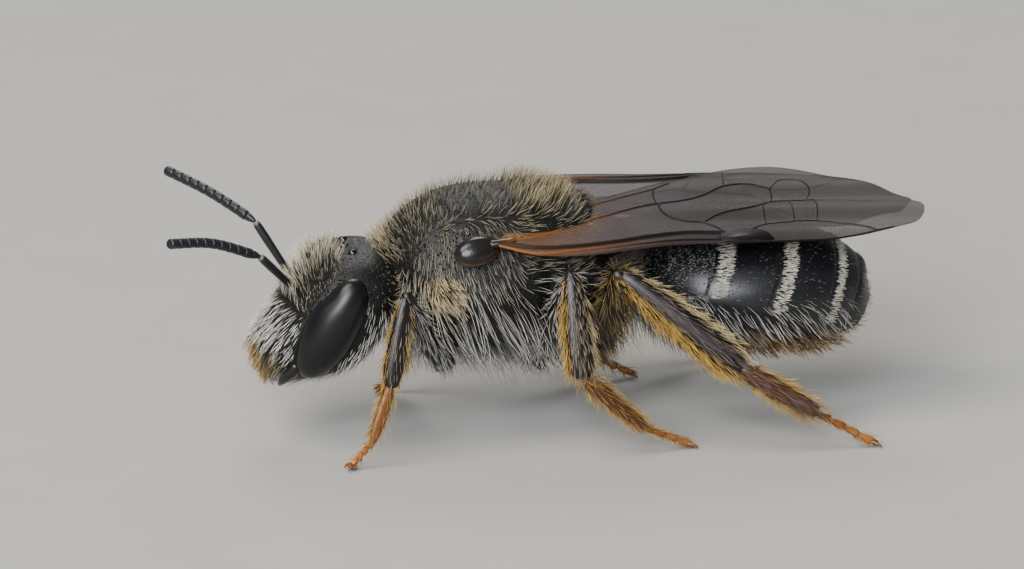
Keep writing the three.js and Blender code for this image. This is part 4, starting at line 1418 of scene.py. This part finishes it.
class BeeSizes(bpy.types.PropertyGroup):
    hair_thickness: bpy.props.FloatProperty(
        name="Hair thickness", description="Thickness of the hairs, as a share of their own",
        default=1.0, min=0.3, max=3.0, subtype="FACTOR")
    coat_density: bpy.props.FloatProperty(
        name="Coat density", description="Hairs grown, as a share of the whole coat",
        default=1.0, min=0.05, max=1.0, subtype="FACTOR")


class BeeColours(bpy.types.PropertyGroup):
    buff: colour_property("Buff", "bfb188", "Hair of the collar and the back of the thorax")
    dusk: colour_property("Dusk", "aaa086", "Short hair of the thorax, the waist and the tail")
    grizzle: colour_property("Grizzle", "b5ad94", "Hair of the brow and crown, and on top of the abdomen")
    silver: colour_property("Silver", "dad7cb", "Hair of the lower face and of the abdomen's first ring")
    honey: colour_property("Honey", "a88046", "Hair of the mouth and under the abdomen")
    pale: colour_property("Pale", "e0dcd0", "Long hair of the flanks, cheeks and thighs")
    felt: colour_property("Felt", "bdbaa8", "White bands of the abdomen")
    straw: colour_property("Straw", "bba878", "Hair beside the mouth, on the shoulder and in pale fringes")
    gold: colour_property("Gold", "bb9440", "Fringes of the shins and feet")
    rust: colour_property("Rust", "a57a42", "Hair of the feet")
    umber: colour_property("Umber", "705f56", "Hair on the outer face of the hind shins")
    taupe: colour_property("Taupe", "9a8b76", "Hair on the outer face of the other shins")


class BEE_OT_stage(bpy.types.Operator):
    """Lay the floor and set the lamps and the camera"""
    bl_idname = "bee.stage"
    bl_label = "Stage"

    def execute(self, context):
        make_stage()
        return {"FINISHED"}


class BEE_OT_skin(bpy.types.Operator):
    """Model the head, thorax, abdomen and legs as one skin"""
    bl_idname = "bee.skin"
    bl_label = "Skin"

    def execute(self, context):
        make_skin()
        return {"FINISHED"}


class BEE_OT_eyes(bpy.types.Operator):
    """Model the compound eyes and the simple eyes"""
    bl_idname = "bee.eyes"
    bl_label = "Eyes"

    def execute(self, context):
        make_eyes()
        return {"FINISHED"}


class BEE_OT_jaws(bpy.types.Operator):
    """Model the mandibles"""
    bl_idname = "bee.jaws"
    bl_label = "Jaws"

    def execute(self, context):
        make_jaws()
        return {"FINISHED"}


class BEE_OT_feelers(bpy.types.Operator):
    """Model the jointed feelers"""
    bl_idname = "bee.feelers"
    bl_label = "Feelers"

    def execute(self, context):
        make_feelers()
        return {"FINISHED"}


class BEE_OT_claws(bpy.types.Operator):
    """Model the claws, pads and spurs of the legs"""
    bl_idname = "bee.claws"
    bl_label = "Claws"

    def execute(self, context):
        make_claws()
        return {"FINISHED"}


class BEE_OT_tegulae(bpy.types.Operator):
    """Model the scales over the wing roots"""
    bl_idname = "bee.tegulae"
    bl_label = "Wing scales"

    def execute(self, context):
        make_tegulae()
        return {"FINISHED"}


class BEE_OT_wings(bpy.types.Operator):
    """Model the four wings with their veins"""
    bl_idname = "bee.wings"
    bl_label = "Wings"

    def execute(self, context):
        make_wings()
        return {"FINISHED"}


class BEE_OT_coat(bpy.types.Operator):
    """Grow the coat on the skin"""
    bl_idname = "bee.coat"
    bl_label = "Coat"

    def execute(self, context):
        if "skin" not in bpy.data.objects:
            raise RuntimeError("the coat grows on the skin, which isn't made yet")
        colours = {name: np.array(getattr(context.scene.bee_colours, name))
                   for name in BeeColours.__annotations__}
        make_coat(context.scene.bee_sizes, colours)
        return {"FINISHED"}


OPERATORS = (BEE_OT_stage, BEE_OT_skin, BEE_OT_eyes, BEE_OT_jaws, BEE_OT_feelers, BEE_OT_claws,
             BEE_OT_tegulae, BEE_OT_wings, BEE_OT_coat)


class BEE_PT_panel(bpy.types.Panel):
    bl_label = "Furrow bee"
    bl_space_type = "VIEW_3D"
    bl_region_type = "UI"
    bl_category = "Furrow bee"

    def draw(self, context):
        for group in (context.scene.bee_sizes, context.scene.bee_colours):
            for name in group.bl_rna.properties.keys():
                if name not in ("rna_type", "name"):
                    self.layout.prop(group, name)
        for operator in OPERATORS:
            self.layout.operator(operator.bl_idname)


CLASSES = (BeeSizes, BeeColours, *OPERATORS, BEE_PT_panel)


def register():
    for one in CLASSES:
        bpy.utils.register_class(one)
    bpy.types.Scene.bee_sizes = bpy.props.PointerProperty(type=BeeSizes)
    bpy.types.Scene.bee_colours = bpy.props.PointerProperty(type=BeeColours)


def unregister():
    del bpy.types.Scene.bee_colours
    del bpy.types.Scene.bee_sizes
    for one in reversed(CLASSES):
        bpy.utils.unregister_class(one)


def main():
    register()
    bpy.ops.bee.stage()
    bpy.ops.bee.skin()
    bpy.ops.bee.eyes()
    bpy.ops.bee.jaws()
    bpy.ops.bee.feelers()
    bpy.ops.bee.claws()
    bpy.ops.bee.tegulae()
    bpy.ops.bee.wings()
    bpy.ops.bee.coat()


if __name__ == "__main__":
    main()
